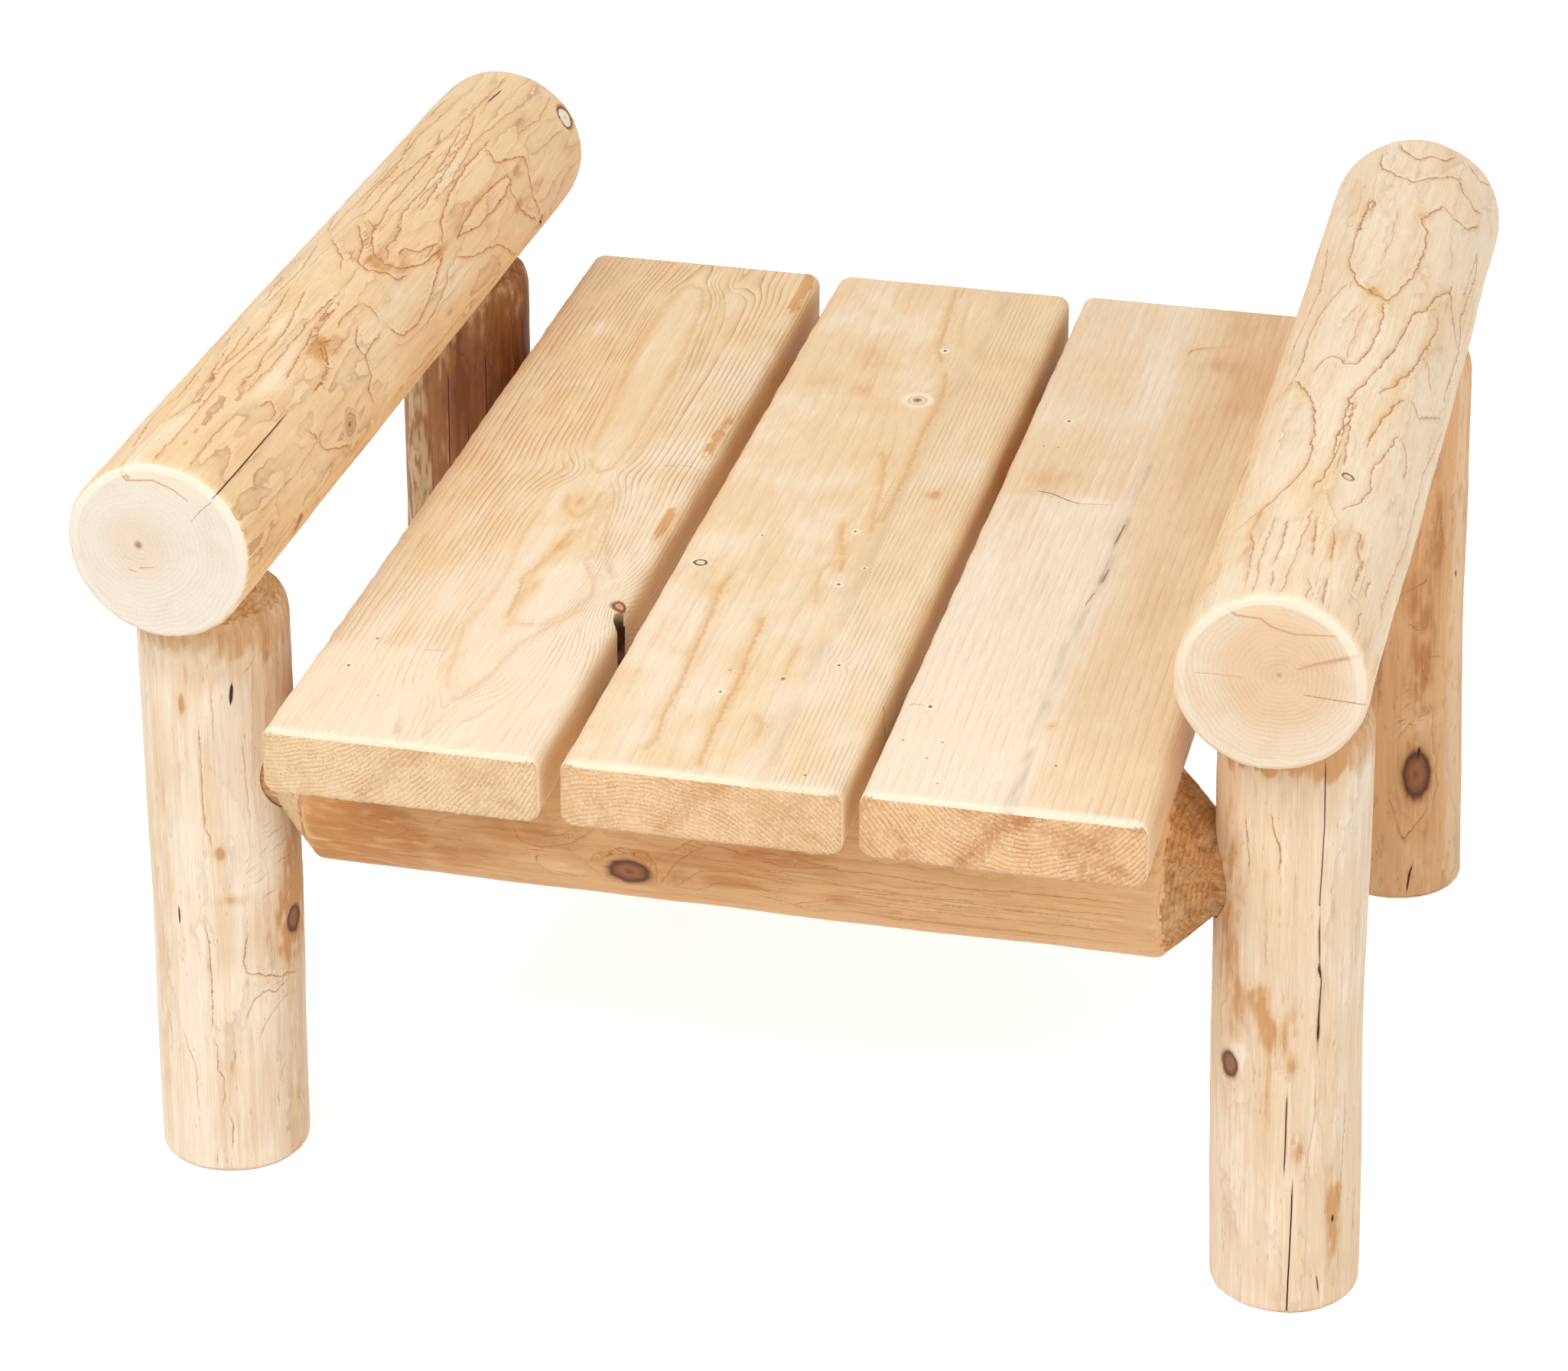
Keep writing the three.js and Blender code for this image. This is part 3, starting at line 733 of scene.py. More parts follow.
def end_wood(name, light, ring_color, heart, pith, spacing, heart_radius, axes=(0, 1), checks=0.5,
             rings=0.6, streaks=(), pores=0.0, rim=None, spot=0.55, mottle=0.35):
    """End grain: rings round an axis at pith, in the object's own millimetres.

    A streak is (points, width, width at its end, tint, strength), and rim is the radius of a pale edge that
    is strongest along the top: a painted highlight where the sawn chamfer catches the light."""
    n = Nodes(bpy.data.materials.new(name))
    place = n.place(TO_MM)
    split = n.new("SeparateXYZ", Vector=place)
    flat = [split.outputs[axis] for axis in axes]
    length_of = lambda a, b: n.math("SQRT", n.plus(n.times(a, a), n.times(b, b)))
    u, v = n.minus(flat[0], pith[0]), n.minus(flat[1], pith[1])
    bend = n.noise(place, 2, scale=0.035)
    rough = n.noise(place, 4, 0.6, 0.5)
    blotch = n.noise(place, 4, 0.6, 0.05)
    grit = n.noise(place, 3, 0.7, 1.6)
    distance = n.sway(rough, 0.8, n.sway(bend, 9.0, length_of(u, v)))
    late = n.ramp(n.math("FRACT", n.math("DIVIDE", distance, spacing)), [
        (0, 0.05), (0.45, 0.15), (0.86, 0.75), (0.95, 1.0), (1.0, 0.05)])
    late = n.times(late, n.smooth(n.noise(place, scale=0.06), 0.3, 0.7, 0.35, 1.0))
    middle = n.smooth(n.sway(blotch, 26.0, distance), heart_radius - 7, heart_radius + 9, 0.85, 0.0)
    base = n.mix(middle, light, heart)
    base = n.mix(n.smooth(blotch, 0.42, 0.75, 0.0, mottle), base, ring_color)
    color = n.mix(n.times(late, rings), base, ring_color)
    if pores:
        specks = n.smooth(n.cells(place, 0.62), 0.16, 0.42, pores, 0.0)
        specks = n.times(specks, n.smooth(n.noise(place, 2, scale=0.09), 0.4, 0.6))
        color = n.mix(specks, color, PORE_BROWN)
        pale = n.smooth(n.cells(n.place(TO_MM, (7, 3, 5)), 0.42), 0.14, 0.42, 0.4, 0.0)
        color = n.mix(pale, color, PORE_PALE)
    rays = n.new("CombineXYZ", X=n.times(n.math("ARCTAN2", v, u), 9.0), Y=n.times(distance, 0.02))
    ray = n.noise(rays.outputs[0], 5, 0.7, 3.2)
    color = n.mix(n.smooth(ray, 0.62, 0.8, 0.0, checks), color, ring_color)
    color = n.shaded(color, n.smooth(grit, 0.2, 0.8, 0.9, 1.06))
    for streak in streaks:
        color = draw_streak(n, color, flat, rough, *streak)
    # Painted highlight along the rim of the end, strongest at the top where the light falls.
    if rim:
        far = n.sway(bend, 3.0, length_of(*flat))
        lit_top = n.smooth(flat[1], -38, 16, 0.65, 0.2)
        color = n.mix(n.times(n.smooth(far, rim - 5.5, rim - 4.0), lit_top), color, RIM_HIGHLIGHT)
    color = n.mix(n.smooth(distance, 0.4, 3.0, spot, 0.0), color, PITH)
    return n.surface(color, 0.72, n.scaled(late, 0.4, n.times(grit, 0.6)), 0.0003, 0.25)


def draw_streak(n, color, flat, rough, points, width, width_end, tint, strength):
    """The colour with a streak of its tint drawn over it, stretch by stretch along its points."""
    total = sum(math.dist(p, q) for p, q in zip(points[:-1], points[1:]))
    run = 0.0
    for (u0, v0), (u1, v1) in zip(points[:-1], points[1:]):
        length = math.hypot(u1 - u0, v1 - v0)
        eu, ev = (u1 - u0) / length, (v1 - v0) / length
        du, dv = n.minus(flat[0], u0), n.minus(flat[1], v0)
        along = n.plus(n.times(du, eu), n.times(dv, ev))
        across = n.math("ABSOLUTE", n.minus(n.times(du, ev), n.times(dv, eu)))
        here, there = (width + (width_end - width) * done / total for done in (run, run + length))
        across = n.math("DIVIDE", n.sway(rough, here * 0.7, across), n.smooth(along, 0, length, here, there))
        ends = n.times(n.smooth(along, -0.6, 0.2), n.smooth(along, length - 0.2, length + 0.6, 1.0, 0.0))
        color = n.mix(n.times(n.smooth(across, 0.2, 1.0, strength, 0.0), ends), color, tint)
        run += length
    return color


def cut_wood(name, light, dark, along=2, fair=(240, 212, 166)):
    """A worked surface: a shoulder, socket, counterbore or flat, rough with torn fibres."""
    n = Nodes(bpy.data.materials.new(name), along=along)
    fibres = n.grain(700, 190, 5, 0.7)
    torn = n.grain(210, 120, 4, 0.65, 0.6)
    late = n.ramp(n.math("FRACT", n.sway(torn, 0.9, n.field("ring"))),
                  [(0, 0.0), (0.4, 0.1), (0.85, 0.8), (0.95, 1.0), (1.0, 0.0)])
    share = n.math("ADD", n.times(late, 0.45), n.smooth(torn, 0.35, 0.75, 0.0, 0.75), clamp=True)
    color = n.mix(share, light, dark)
    color = n.mix(n.smooth(n.field("tone"), -0.8, -0.1, 0.75, 0.0), color, fair)
    color = n.mix(n.smooth(n.grain(60, 60), 0.45, 0.75, 0.0, 0.5), color, fair)
    color = n.shaded(color, n.smooth(fibres, 0.25, 0.75, 0.78, 1.1))
    return n.surface(color, 0.8, n.plus(fibres, n.times(torn, 1.2)), 0.0008, 0.2)


def steel():
    n = Nodes(bpy.data.materials.new("screw_steel"))
    turning = n.grain(900, 900, 4, 0.6)
    color = n.mix(n.smooth(n.grain(160, 160), 0.35, 0.7), (150, 142, 124), (176, 160, 118))
    return n.surface(color, n.smooth(turning, 0.2, 0.8, 0.28, 0.5), turning, 0.0001, 0.5, metallic=1.0)


# Joints, from the same named sizes as the part. A corner is (row, side).

ROWS, SIDES = {"front": -1, "rear": 1}, {"left": -1, "right": 1}
CORNERS = [(row, side) for row in ROWS for side in SIDES]
SPLAY = dict(zip(CORNERS, (0.5, 1.9, 0.6, 2.7)))
POST_RADIUS = dict(zip(CORNERS, (40.4, 39.4, 39.0, 40.2)))
POST_SHIFT = dict(zip(CORNERS, (0.0, 0.0, 5.0, 1.0)))
SHOULDER_DROP = dict(zip(CORNERS, (13.0, 13.0, 10.0, 7.0)))
ARM_SCREW_SHIFT = dict(zip(CORNERS, (14.0, 0.0, -4.0, 0.0)))
# Of each arm log: front and rear radius, how far it passes the posts there, and its shift outwards
ARMS = {"left": (49.0, 48.4, 63.0, 77.0, -4.0, 9.5), "right": (47.5, 48.7, 76.5, 92.0, -3.5, -2.0)}
RAIL_RADIUS = {"front": 49.6, "rear": 50.0}
RAIL_FLAT_DEPTH, RAIL_SINK = 3.6, 2.0
TENON_RADIUS, TENON_CHAMFER, SOCKET_SPARE = 25.0, 2.0, 3.0
POST_TENON, RAIL_TENON = 46.0, 44.0
POST_RIM, RAIL_RIM = (9.0, 2.5), (3.0, 1.2)
SAW_CHAMFER = 3.0
CROSSWISE, LENGTHWISE, UPWARDS = Vector((1, 0, 0)), Vector((0, 1, 0)), Vector((0, 0, 1))


def arm_points(side):
    _, _, front, rear, front_shift, rear_shift = ARMS[side]
    return (Vector((SIDES[side] * POST_X + front_shift, -POST_Y - front, ARM_HEIGHT)),
            Vector((SIDES[side] * POST_X + rear_shift, POST_Y + rear, ARM_HEIGHT)))


def arm_radius(side, y):
    r0, r1, front, rear, _, _ = ARMS[side]
    return r0 + (r1 - r0) * (y + POST_Y + front) / (2 * POST_Y + front + rear)


def post_direction(corner):
    angle = math.radians(SPLAY[corner])
    return Vector((-SIDES[corner[1]] * math.sin(angle), 0, math.cos(angle)))


def on_post(corner, height):
    row, side = corner
    top = Vector((SIDES[side] * POST_X + POST_SHIFT[corner], ROWS[row] * POST_Y, ARM_HEIGHT))
    direction = post_direction(corner)
    return top + direction * ((height - ARM_HEIGHT) / direction.z)


def sawn_end(radius):
    return [(0.0, radius - SAW_CHAMFER), (SAW_CHAMFER, radius)]


def tenon_end(log_radius, tenon_length, rim, grow):
    """Points (distance, radius) of a tenon's end, from its end face: tenon, 45 degree shoulder, rim."""
    rim_length, rim_drop = rim
    tenon = tenon_length + (SOCKET_SPARE if grow else 0.0)
    cone_end = tenon + log_radius - rim_drop - TENON_RADIUS
    cone = [(0.0, TENON_RADIUS - TENON_CHAMFER), (TENON_CHAMFER, TENON_RADIUS),
            (tenon - grow, TENON_RADIUS), (cone_end - grow, log_radius - rim_drop)]
    cone += [(cone_end + rim_length * along, log_radius - rim_drop * inset)
             for along, inset in ((0.25, 0.6), (0.5, 0.3), (1.0, 0.0))]
    return [(z, r + grow) for z, r in cone]


def post_shape(corner, grow=0.0):
    row, side = corner
    radius = POST_RADIUS[corner]
    rim = ARM_HEIGHT - arm_radius(side, ROWS[row] * POST_Y) - SHOULDER_DROP[corner]
    top = tenon_end(radius, POST_TENON, POST_RIM, grow)
    foot = on_post(corner, -radius * abs(post_direction(corner).x))
    length = (on_post(corner, rim) - foot).length + top[-1][0]
    return foot, foot + post_direction(corner) * length, (sawn_end(radius + grow), top)


def rail_height(row):
    return SEAT_UNDER - REST_GAP - RAIL_RADIUS[row] + RAIL_FLAT_DEPTH


def rail_shape(row, grow=0.0):
    faces = []
    for side in SIDES:
        point = on_post((row, side), rail_height(row))
        point.x -= SIDES[side] * POST_RADIUS[row, side]
        faces.append(point)
    along = (faces[1] - faces[0]).normalized()
    reach = RAIL_SINK + RAIL_TENON + (SOCKET_SPARE if grow else 0.0)
    end = tenon_end(RAIL_RADIUS[row], RAIL_TENON, RAIL_RIM, grow)
    return faces[0] - along * reach, faces[1] + along * reach, (end, end)


def socket_cutter(shape, reference):
    start, finish, ends = shape
    length = (finish - start).length
    rows = [*ends[0], *((length - z, r) for z, r in ends[1][::-1])]
    return turned("socket", rows, SOCKET_COLUMNS, basis(start, finish, reference))


# Screws: those that lock the tenons, and those that hold the planks, as radii and lengths

LOCK = {"head": 4.5, "head_length": 4.0, "shank": 2.4, "length": 63.0, "tip": 7.0}
PLANK_SCREW = {"head": 5.5, "head_length": 4.0, "shank": 3.0, "length": 88.0, "tip": 9.0}
ARM_SCREW_SLOPE = math.radians(17)
HEAD_DEPTH, RAIL_SCREW_SHIFT = 3.0, 5.0
PLANK_SCREW_SHIFT, PLANK_SCREW_COVER = 38.0, 11.0
LOCK_MOUTH, PLANK_SCREW_MOUTH, PLANK_SCREW_FIT = 30.0, 50.0, 2.0


def screw_places():
    """Each screw's name, sizes, start and direction."""
    places = []
    for row, side in CORNERS:
        corner = row, side
        front, rear = arm_points(side)
        line = (rear - front).normalized()
        y = ROWS[row] * POST_Y + ARM_SCREW_SHIFT[corner]
        axis = front + line * ((y - front.y) / line.y)
        inward = Vector((SIDES[side] * math.cos(ARM_SCREW_SLOPE), 0, math.sin(ARM_SCREW_SLOPE)))
        start = axis - inward * (arm_radius(side, y) - HEAD_DEPTH)
        places.append((f"{row}_{side}_arm_screw", LOCK, start, inward))
        start = on_post(corner, rail_height(row))
        start -= Vector((SIDES[side] * RAIL_SCREW_SHIFT, HEAD_DEPTH - POST_RADIUS[corner], 0))
        places.append((f"{row}_{side}_rail_screw", LOCK, start, -LENGTHWISE))
    height = SEAT_TOP - PLANK_SCREW_COVER - PLANK_SCREW["length"]
    for row in ROWS:
        for plank, x in zip(("left", "middle", "right"), PLANK_X):
            for side in SIDES:
                start = Vector((x + SIDES[side] * PLANK_SCREW_SHIFT, ROWS[row] * POST_Y, height))
                places.append((f"{row}_{plank}_plank_screw_{side}", PLANK_SCREW, start, UPWARDS))
    return places


def screw_basis(start, direction):
    return basis(start, start + direction, UPWARDS if abs(direction.z) < 0.9 else CROSSWISE)


def make_screw(name, spec, start, direction, material):
    """A wood screw: countersunk head with a six-lobed recess, cut thread and gimlet tip."""
    angle = np.arange(SCREW_COLUMNS) * 2 * math.pi / SCREW_COLUMNS
    lobes = spec["head"] * (0.40 + 0.07 * np.cos(6 * angle))
    neck, bare = spec["shank"] * 0.8, spec["length"] * 0.3
    recess = 1.9
    rows = [(recess, lobes * 0.3), (recess, lobes * 0.95), (0.12, lobes)]
    rows += [(z, spec["head"] * r) for z, r in ((0.0, 0.62), (0.0, 0.93), (0.25, 1.0), (0.6, 0.985))]
    rows += [(spec["head_length"], neck), (bare, neck)]
    pitch = spec["shank"] * 1.15
    steps = int((spec["length"] - bare) / pitch * 5)
    for k in range(1, steps):
        z = bare + (spec["length"] - bare) * k / steps
        taper = np.clip((spec["length"] - z) / spec["tip"], 0.06, 1)
        turn = (z / pitch - angle / (2 * math.pi)) % 1
        ridge = np.clip(1 - np.abs(turn - 0.5) * 4, 0, 1)
        rows.append((z, taper * spec["shank"] * (0.66 + 0.34 * ridge)))
    tips = (recess, spec["length"])
    obj = turned(name + "_steel", rows, SCREW_COLUMNS, screw_basis(start, direction), tips)
    set_fields(obj.data)
    dress(obj, name, [material], angle=35)


def hole_cutter(spec, start, direction, clearance, mouth):
    rows = [(-mouth, spec["head"] + clearance), (0.0, spec["head"] + clearance),
            (0.05, spec["head"] + FIT), (spec["head_length"], spec["shank"] + FIT),
            (spec["length"] - spec["tip"], spec["shank"] + FIT), (spec["length"] + FIT, 0.2)]
    return turned("hole", rows, HOLE_COLUMNS, screw_basis(start, direction))


# Looks of the logs. Places are (along the log, angle round it).

LEFT_ARM = {
    "seed": 11, "levels": 1.8, "grain": (20, 150), "step": 0.35, "contrast": 0.75, "facing": -50,
    "drift": 3.5, "line_jag": 1.0,
    "strokes": marks("""
        0.95 244,-35 245,-27 254,-19 278,-16 302,-21 327,-30 346,-36; 0.75 342,-26 330,-18 303,-11 286,-9;
        0.95 326,-95 299,-80 277,-75 272,-66 281,-56 283,-48 297,-43; 0.95 332,-92 324,-82 302,-76 290,-66
        290,-58 299,-48 317,-41 349,-38; 0.75 344,-70 320,-65 306,-66 293,-59; 0.95 302,-56 316,-57 325,-48
        348,-42; 0.75 304,-105 289,-94 276,-85 258,-79; 0.95 180,-62 179,-55 168,-46 152,-42 133,-42; 0.75
        230,-67 218,-65 190,-65 174,-59; 0.95 219,-48 202,-40 203,-29 200,-18 190,-13 197,0; 0.75 478,-120
        416,-104 383,-106 349,-104; 0.75 478,-96 439,-88 394,-85 356,-85 320,-80; 0.75 481,-84 428,-76
        390,-74 352,-74 321,-66; 0.75 506,-83 474,-76 427,-71 386,-67 361,-65; 0.95 484,-62 437,-62 397,-58
        365,-50 349,-38; 0.95 472,-61 462,-49 494,-37 488,-24 484,-10 498,12; 0.95 470,-35 438,-40 404,-40
        370,-35 399,-28 448,-29 467,-34; 0.95 465,-40 456,-25 462,-9 490,11; 0.75 233,-102 188,-96 149,-96
        121,-99 102,-98 70,-95; 0.75 228,-90 181,-82 144,-80 122,-78 97,-80; 0.75 230,-70 189,-67 151,-62
        125,-60; 0.75 152,-109 107,-103 75,-99 54,-106; 0.75 89,-63 100,-58 96,-52 86,-51; 0.75 246,-132
        201,-128 160,-126; 0.75 73,-123 22,-114; 0.75 353,-27 374,-17 414,-8 457,22; 0.75 108,-32 118,-10
        154,6; 0.75 240,-57 242,-46 238,-36; 0.75 264,-121 228,-114 209,-116; 0.75 128,-118 88,-113 73,-123;
        0.75 391,-129 353,-125 316,-113; 0.6 0,-90 60,-91 120,-93 165,-88; 0.7 98,-100 125,-101 158,-105
        180,-107; 0.95 150,-40 165,-44 170,-52 178,-60 190,-52; 0.6 95,-74 140,-72 200,-73 240,-70; 0.7
        200,-56 220,-58 240,-55; 0.7 200,-30 215,-32 235,-34; 0.6 330,-100 345,-95 400,-97 440,-90 500,-87
        570,-85; 0.6 310,-110 340,-112 420,-108 470,-112 520,-104; 0.5 380,-62 420,-64 470,-70 510,-66
        560,-60; 0.5 500,-34 530,-30 560,-28; 0.4 0,-70 40,-71 80,-70; 0.5 510,-50 540,-46 575,-50; 0.5
        250,10 300,16 360,12 420,20; 0.4 20,-20 80,-16 130,-22; 0.6 210,-110 260,-106 300,-112"""),
    "knots": [(157, -7, 8.5, 6.5, "eye"), (571, -32, 7, 7, "stub")],
    "stains": [(172, -57, 14, 5, 1.3), (190, -50, 10, 6, 1.1), (465, -15, 22, 4, 1.1),
               (478, -34, 16, 4, 0.9), (284, -66, 10, 8, 0.9), (75, 20, 10, 5, 0.8),
               (300, 20, 300, 14, 0.35), (560, 0, 40, 30, 0.3), (300, -52, 16, 4, 0.8),
               (340, -38, 12, 4, 0.9), (410, -42, 40, 3, 0.5), (250, -118, 16, 6, 0.8)],
    "cracks": marks("""
        0.03 3 -24,-47 40,-46.5 105,-46"""),
    "checks": marks("""
        0.2 520,-83 556,-80; 0.5 500,13 512,28"""),
}
RIGHT_ARM = {
    "seed": 29, "levels": 1.5, "grain": (26, 190), "step": 0.25, "contrast": 0.4, "facing": -80,
    "tone": -0.3, "line_jag": 1.3,
    "strokes": marks("""
        0.9 601,-104 589,-101 575,-88 586,-80 585,-70 601,-63; 0.9 594,-116 567,-113 548,-99 538,-87 552,-77
        561,-68 570,-58 558,-52 556,-45 550,-39 561,-31; 0.9 520,-114 493,-114 451,-116 424,-114 400,-108
        382,-100 372,-90 366,-80 387,-75 410,-69 437,-67 474,-68 489,-75 502,-70 521,-63 515,-52 516,-42
        542,-30; 0.9 520,-114 504,-108 496,-113 466,-113; 0.9 393,-109 374,-117 356,-124 328,-128 295,-126
        275,-128 264,-135 258,-148; 0.9 364,-83 346,-80 323,-80 299,-82 278,-87 276,-95 288,-105 282,-110
        268,-115; 0.9 271,-127 250,-116 227,-107 200,-101 165,-97 141,-98 125,-103 107,-111 96,-119 91,-126
        89,-134; 0.9 436,-39 423,-40 402,-50 375,-55 357,-63 335,-64 309,-67 282,-73 260,-78 234,-85 206,-84
        181,-84 157,-83 136,-85 118,-90; 0.7 425,-39 405,-34 390,-24 383,-18; 0.9 383,-46 370,-42 340,-46
        302,-51 273,-59 245,-69; 0.9 262,-52 245,-57 223,-61 190,-66 181,-66; 0.7 262,-52 265,-44 256,-39
        278,-27 300,-13; 0.7 221,-48 193,-52 168,-58 143,-55 120,-61 105,-68; 0.7 476,-141 436,-134 396,-132
        363,-137 338,-142 303,-139; 0.7 515,-24 493,-18 454,-21 416,-23 392,-15 346,-17 312,-17; 0.7 600,-55
        591,-41 606,-30; 0.7 84,-97 58,-96 30,-96; 0.7 92,-81 70,-79 45,-77; 0.7 85,-70 69,-66 48,-65; 0.7
        99,-53 78,-52 69,-45 49,-47; 0.7 78,-118 53,-113 30,-110; 0.7 233,-80 204,-80 171,-77 151,-76; 0.7
        221,-44 202,-36 181,-34; 0.7 324,-44 297,-33; 0.7 44,-128 39,-136 43,-149 33,-155; 0.7 32,-112
        14,-109; 0.7 29,-95 7,-94; 0.7 25,-75 13,-73 0,-74; 0.7 62,-46 43,-46 23,-46; 0.7 31,-36 6,-37; 0.7
        69,-20 52,-14; 0.7 35,-65 3,-63; 0.7 68,-36 43,-37; 0.5 0,-88 50,-86 100,-85; 0.5 0,-104 50,-106
        90,-104; 0.4 280,-95 320,-95 355,-92; 0.6 440,-28 480,-25 520,-24; 0.5 20,-45 60,-48 80,-45; 0.35
        420,-92 460,-90 500,-92; 0.4 330,-105 350,-100 360,-96; 0.6 60,-20 140,-14 220,-18 300,-6; 0.6 100,0
        200,8 300,4 420,10 520,4"""),
    "knots": [(144, -71, 3.2, 3, "pit")],
    "stains": [(60, -118, 26, 3, 0.8), (90, -118, 12, 4, 0.9), (262, -130, 8, 5, 1), (376, -92, 9, 8, 1),
               (496, -73, 8, 4, 0.9), (90, -62, 14, 3, 0.8), (497, -110, 12, 3, 0.9),
               (410, -42, 18, 4, 0.7), (330, -46, 14, 3, 0.9), (275, -60, 12, 3, 0.8), (70, -67, 16, 2, 1),
               (85, -50, 14, 2, 0.8), (120, -150, 120, 14, 0.5), (300, -160, 260, 16, 0.5),
               (250, -118, 30, 4, 0.6), (350, -86, 40, 5, 0.4), (150, 20, 200, 20, 0.4)],
}
FRONT_LEFT = {
    "foot": 1.6, "seed": 47, "levels": 1.1, "grain": (34, 210), "step": 0.3, "contrast": 0.3, "facing": -80,
    "tone": -0.3, "line_jag": 0.9, "neck": 0.8,
    "strokes": marks("""
        0.7 273,-84 251,-85 229,-85 212,-84 202,-80 199,-80; 0.5 260,-53 242,-52 226,-51 211,-50; 0.4
        230,-120 222,-120 210,-120; 0.4 290,-74 273,-74 259,-73; 0.4 297,-52 302,-46 309,-34; 0.6 166,-7
        165,-16 160,-21 153,-24; 0.6 207,-42 210,-30; 0.6 200,-39 204,-18; 0.6 192,-37 196,-13; 0.6 190,-45
        197,-36; 0.6 184,-33 185,-5; 0.6 165,-45 170,-27; 0.5 180,-59 187,-45; 0.5 176,-52 181,-34; 0.5
        187,-60 193,-51; 0.9 153,-89 145,-87 140,-86 129,-85 112,-85 100,-85 88,-85; 0.7 86,-85 78,-82
        66,-82 60,-78 49,-78 41,-80; 0.9 148,-55 141,-58 130,-60 124,-58 121,-47 116,-28 112,-6; 0.9 92,-60
        99,-58 106,-53 110,-45 108,-33 113,-20; 0.4 103,-16 100,-33 88,-47 80,-50; 0.8 96,-131 89,-128
        77,-124; 0.5 87,-113 77,-107 66,-101 49,-100 39,-99; 0.6 80,-70 74,-69 66,-69; 0.8 39,-75 32,-72
        13,-73; 0.5 15,-85 2,-86; 0.5 49,-32 44,-34 35,-33; 0.7 42,-13 34,-10 26,-4; 0.4 66,-19 59,-28
        51,-32"""),
    "knots": [(145, -11, 7.5, 6, "dark")],
    # The stain at 200 mm, 2 degrees darkens the post just under the rail's shoulder: painted shade of the
    # rail.
    "stains": [(156, -8, 30, 16, 1.7), (137, -24, 18, 16, 0.8), (200, 2, 34, 12, 1.3),
               (190, -40, 26, 14, -0.7), (279, -97, 7, 1.6, 2), (284, -98, 5, 3, 0.5),
               (196, -75, 3.4, 4, 1.7), (168, -66, 3, 7, 1.1), (60, -12, 90, 10, 0.5),
               (240, 0, 90, 20, 0.5), (300, -84, 8, 22, 0.5), (215, -122, 60, 5, 0.5),
               (110, -138, 90, 6, 0.6), (66, -71, 6, 1.5, 1.3), (150, -100, 60, 10, -0.5),
               (150, -78, 40, 6, 0.3)],
    "checks": marks("""
        0.7 281,-60 295,-58; 0.3 148,-111 163,-111"""),
    "hills": [(154, -10, 40, 16, 1.6), (200, -60, 24, 12, 0.9)],
}
FRONT_RIGHT = {
    "foot": 1.6, "seed": 61, "levels": 1.1, "grain": (32, 220), "step": 0.3, "contrast": 0.35,
    "facing": -90, "line_jag": 0.9, "neck": 0.8,
    "strokes": marks("""
        0.9 293,-100 285,-99 279,-96 274,-93 265,-92 256,-92; 0.8 288,-122 277,-119 267,-117 259,-116
        252,-116; 0.5 311,-133 299,-132; 0.7 236,-133 220,-136 210,-136 202,-133 195,-129 189,-127; 0.4
        261,-81 247,-80; 0.4 244,-91 232,-90; 0.4 239,-102 220,-101 202,-100; 0.4 235,-79 227,-77; 0.4
        223,-26 196,-23; 0.6 290,-86 283,-85; 0.4 196,-88 181,-86; 0.4 193,-73 180,-72; 0.6 150,-108
        140,-107 134,-108; 0.5 175,-86 160,-85 150,-86; 0.6 162,-45 152,-47; 0.4 140,-60 119,-60 101,-64
        83,-68 72,-68; 0.6 128,-32 112,-32 94,-34 79,-35 64,-35; 0.5 69,-15 53,-17 35,-20; 0.5 46,-140
        32,-137 24,-136; 0.9 25,-58 18,-57 10,-55; 0.4 165,-96 142,-95"""),
    "knots": [(142, -130, 7, 5.4, "dark")],
    # The pale stain at 149 mm, -122 degrees, at the knot's upper right, is a painted highlight.
    "stains": [(178, -124, 30, 4, 1), (182, -103, 14, 5, 1.3), (166, -96, 9, 4, 1.3),
               (168, -80, 16, 4, 1.4), (150, -78, 8, 3, 0.9), (60, -44, 22, 4, 1.2), (100, -74, 8, 3, 1.4),
               (120, -100, 30, 4, 0.5), (150, -51, 40, 5, 0.5), (50, -40, 50, 5, 0.5),
               (149, -122, 7, 4.5, -2.4), (240, -136, 70, 7, 0.9), (187, -107, 7, 6, 1),
               (300, -40, 60, 16, -0.4), (90, -122, 60, 14, -0.4), (255, -103, 4, 2, 1),
               (316, -100, 6, 30, 0.8)],
    "cracks": marks("""
        0 2.5 150,-59 197,-58 207,-60 240,-62 285,-61 330,-62; 0.03 2.5 -20,-81 20,-80 59,-78 86,-77"""),
    "checks": marks("""
        0.1 76,-84 99,-83 128,-82 141,-81; 0.3 205,-60 232,-62; 0 9,-55 26,-58; 0.5 52,-44 57,-44"""),
    "hills": [(142, -130, 30, 12, 1.4), (178, -126, 30, 8, 0.8)],
}
REAR_LEFT = {
    "foot": 1.6, "seed": 73, "levels": 1.6, "grain": (32, 200), "step": 0.35, "contrast": 0.7,
    # The tone of 0.5 darkens and warms this post's colour further: painted shade of the arm and seat.
    "facing": -60, "tone": 0.5, "neck": 0.1,
    "stains": [(273, -80, 14, 5, 0.9), (310, -45, 16, 6, 1), (250, -30, 60, 20, 0.8),
               (160, -132, 200, 16, -1.6), (200, -95, 120, 5, -0.5), (322, -50, 30, 80, -1.1)],
    "checks": marks("""
        0.1 120,-92 290,-90; 0 100,-74 260,-73; 0.1 180,-55 300,-56; -0.1 60,-110 240,-108; 0 200,-40
        290,-40; 0 20,-84 90,-83"""),
}
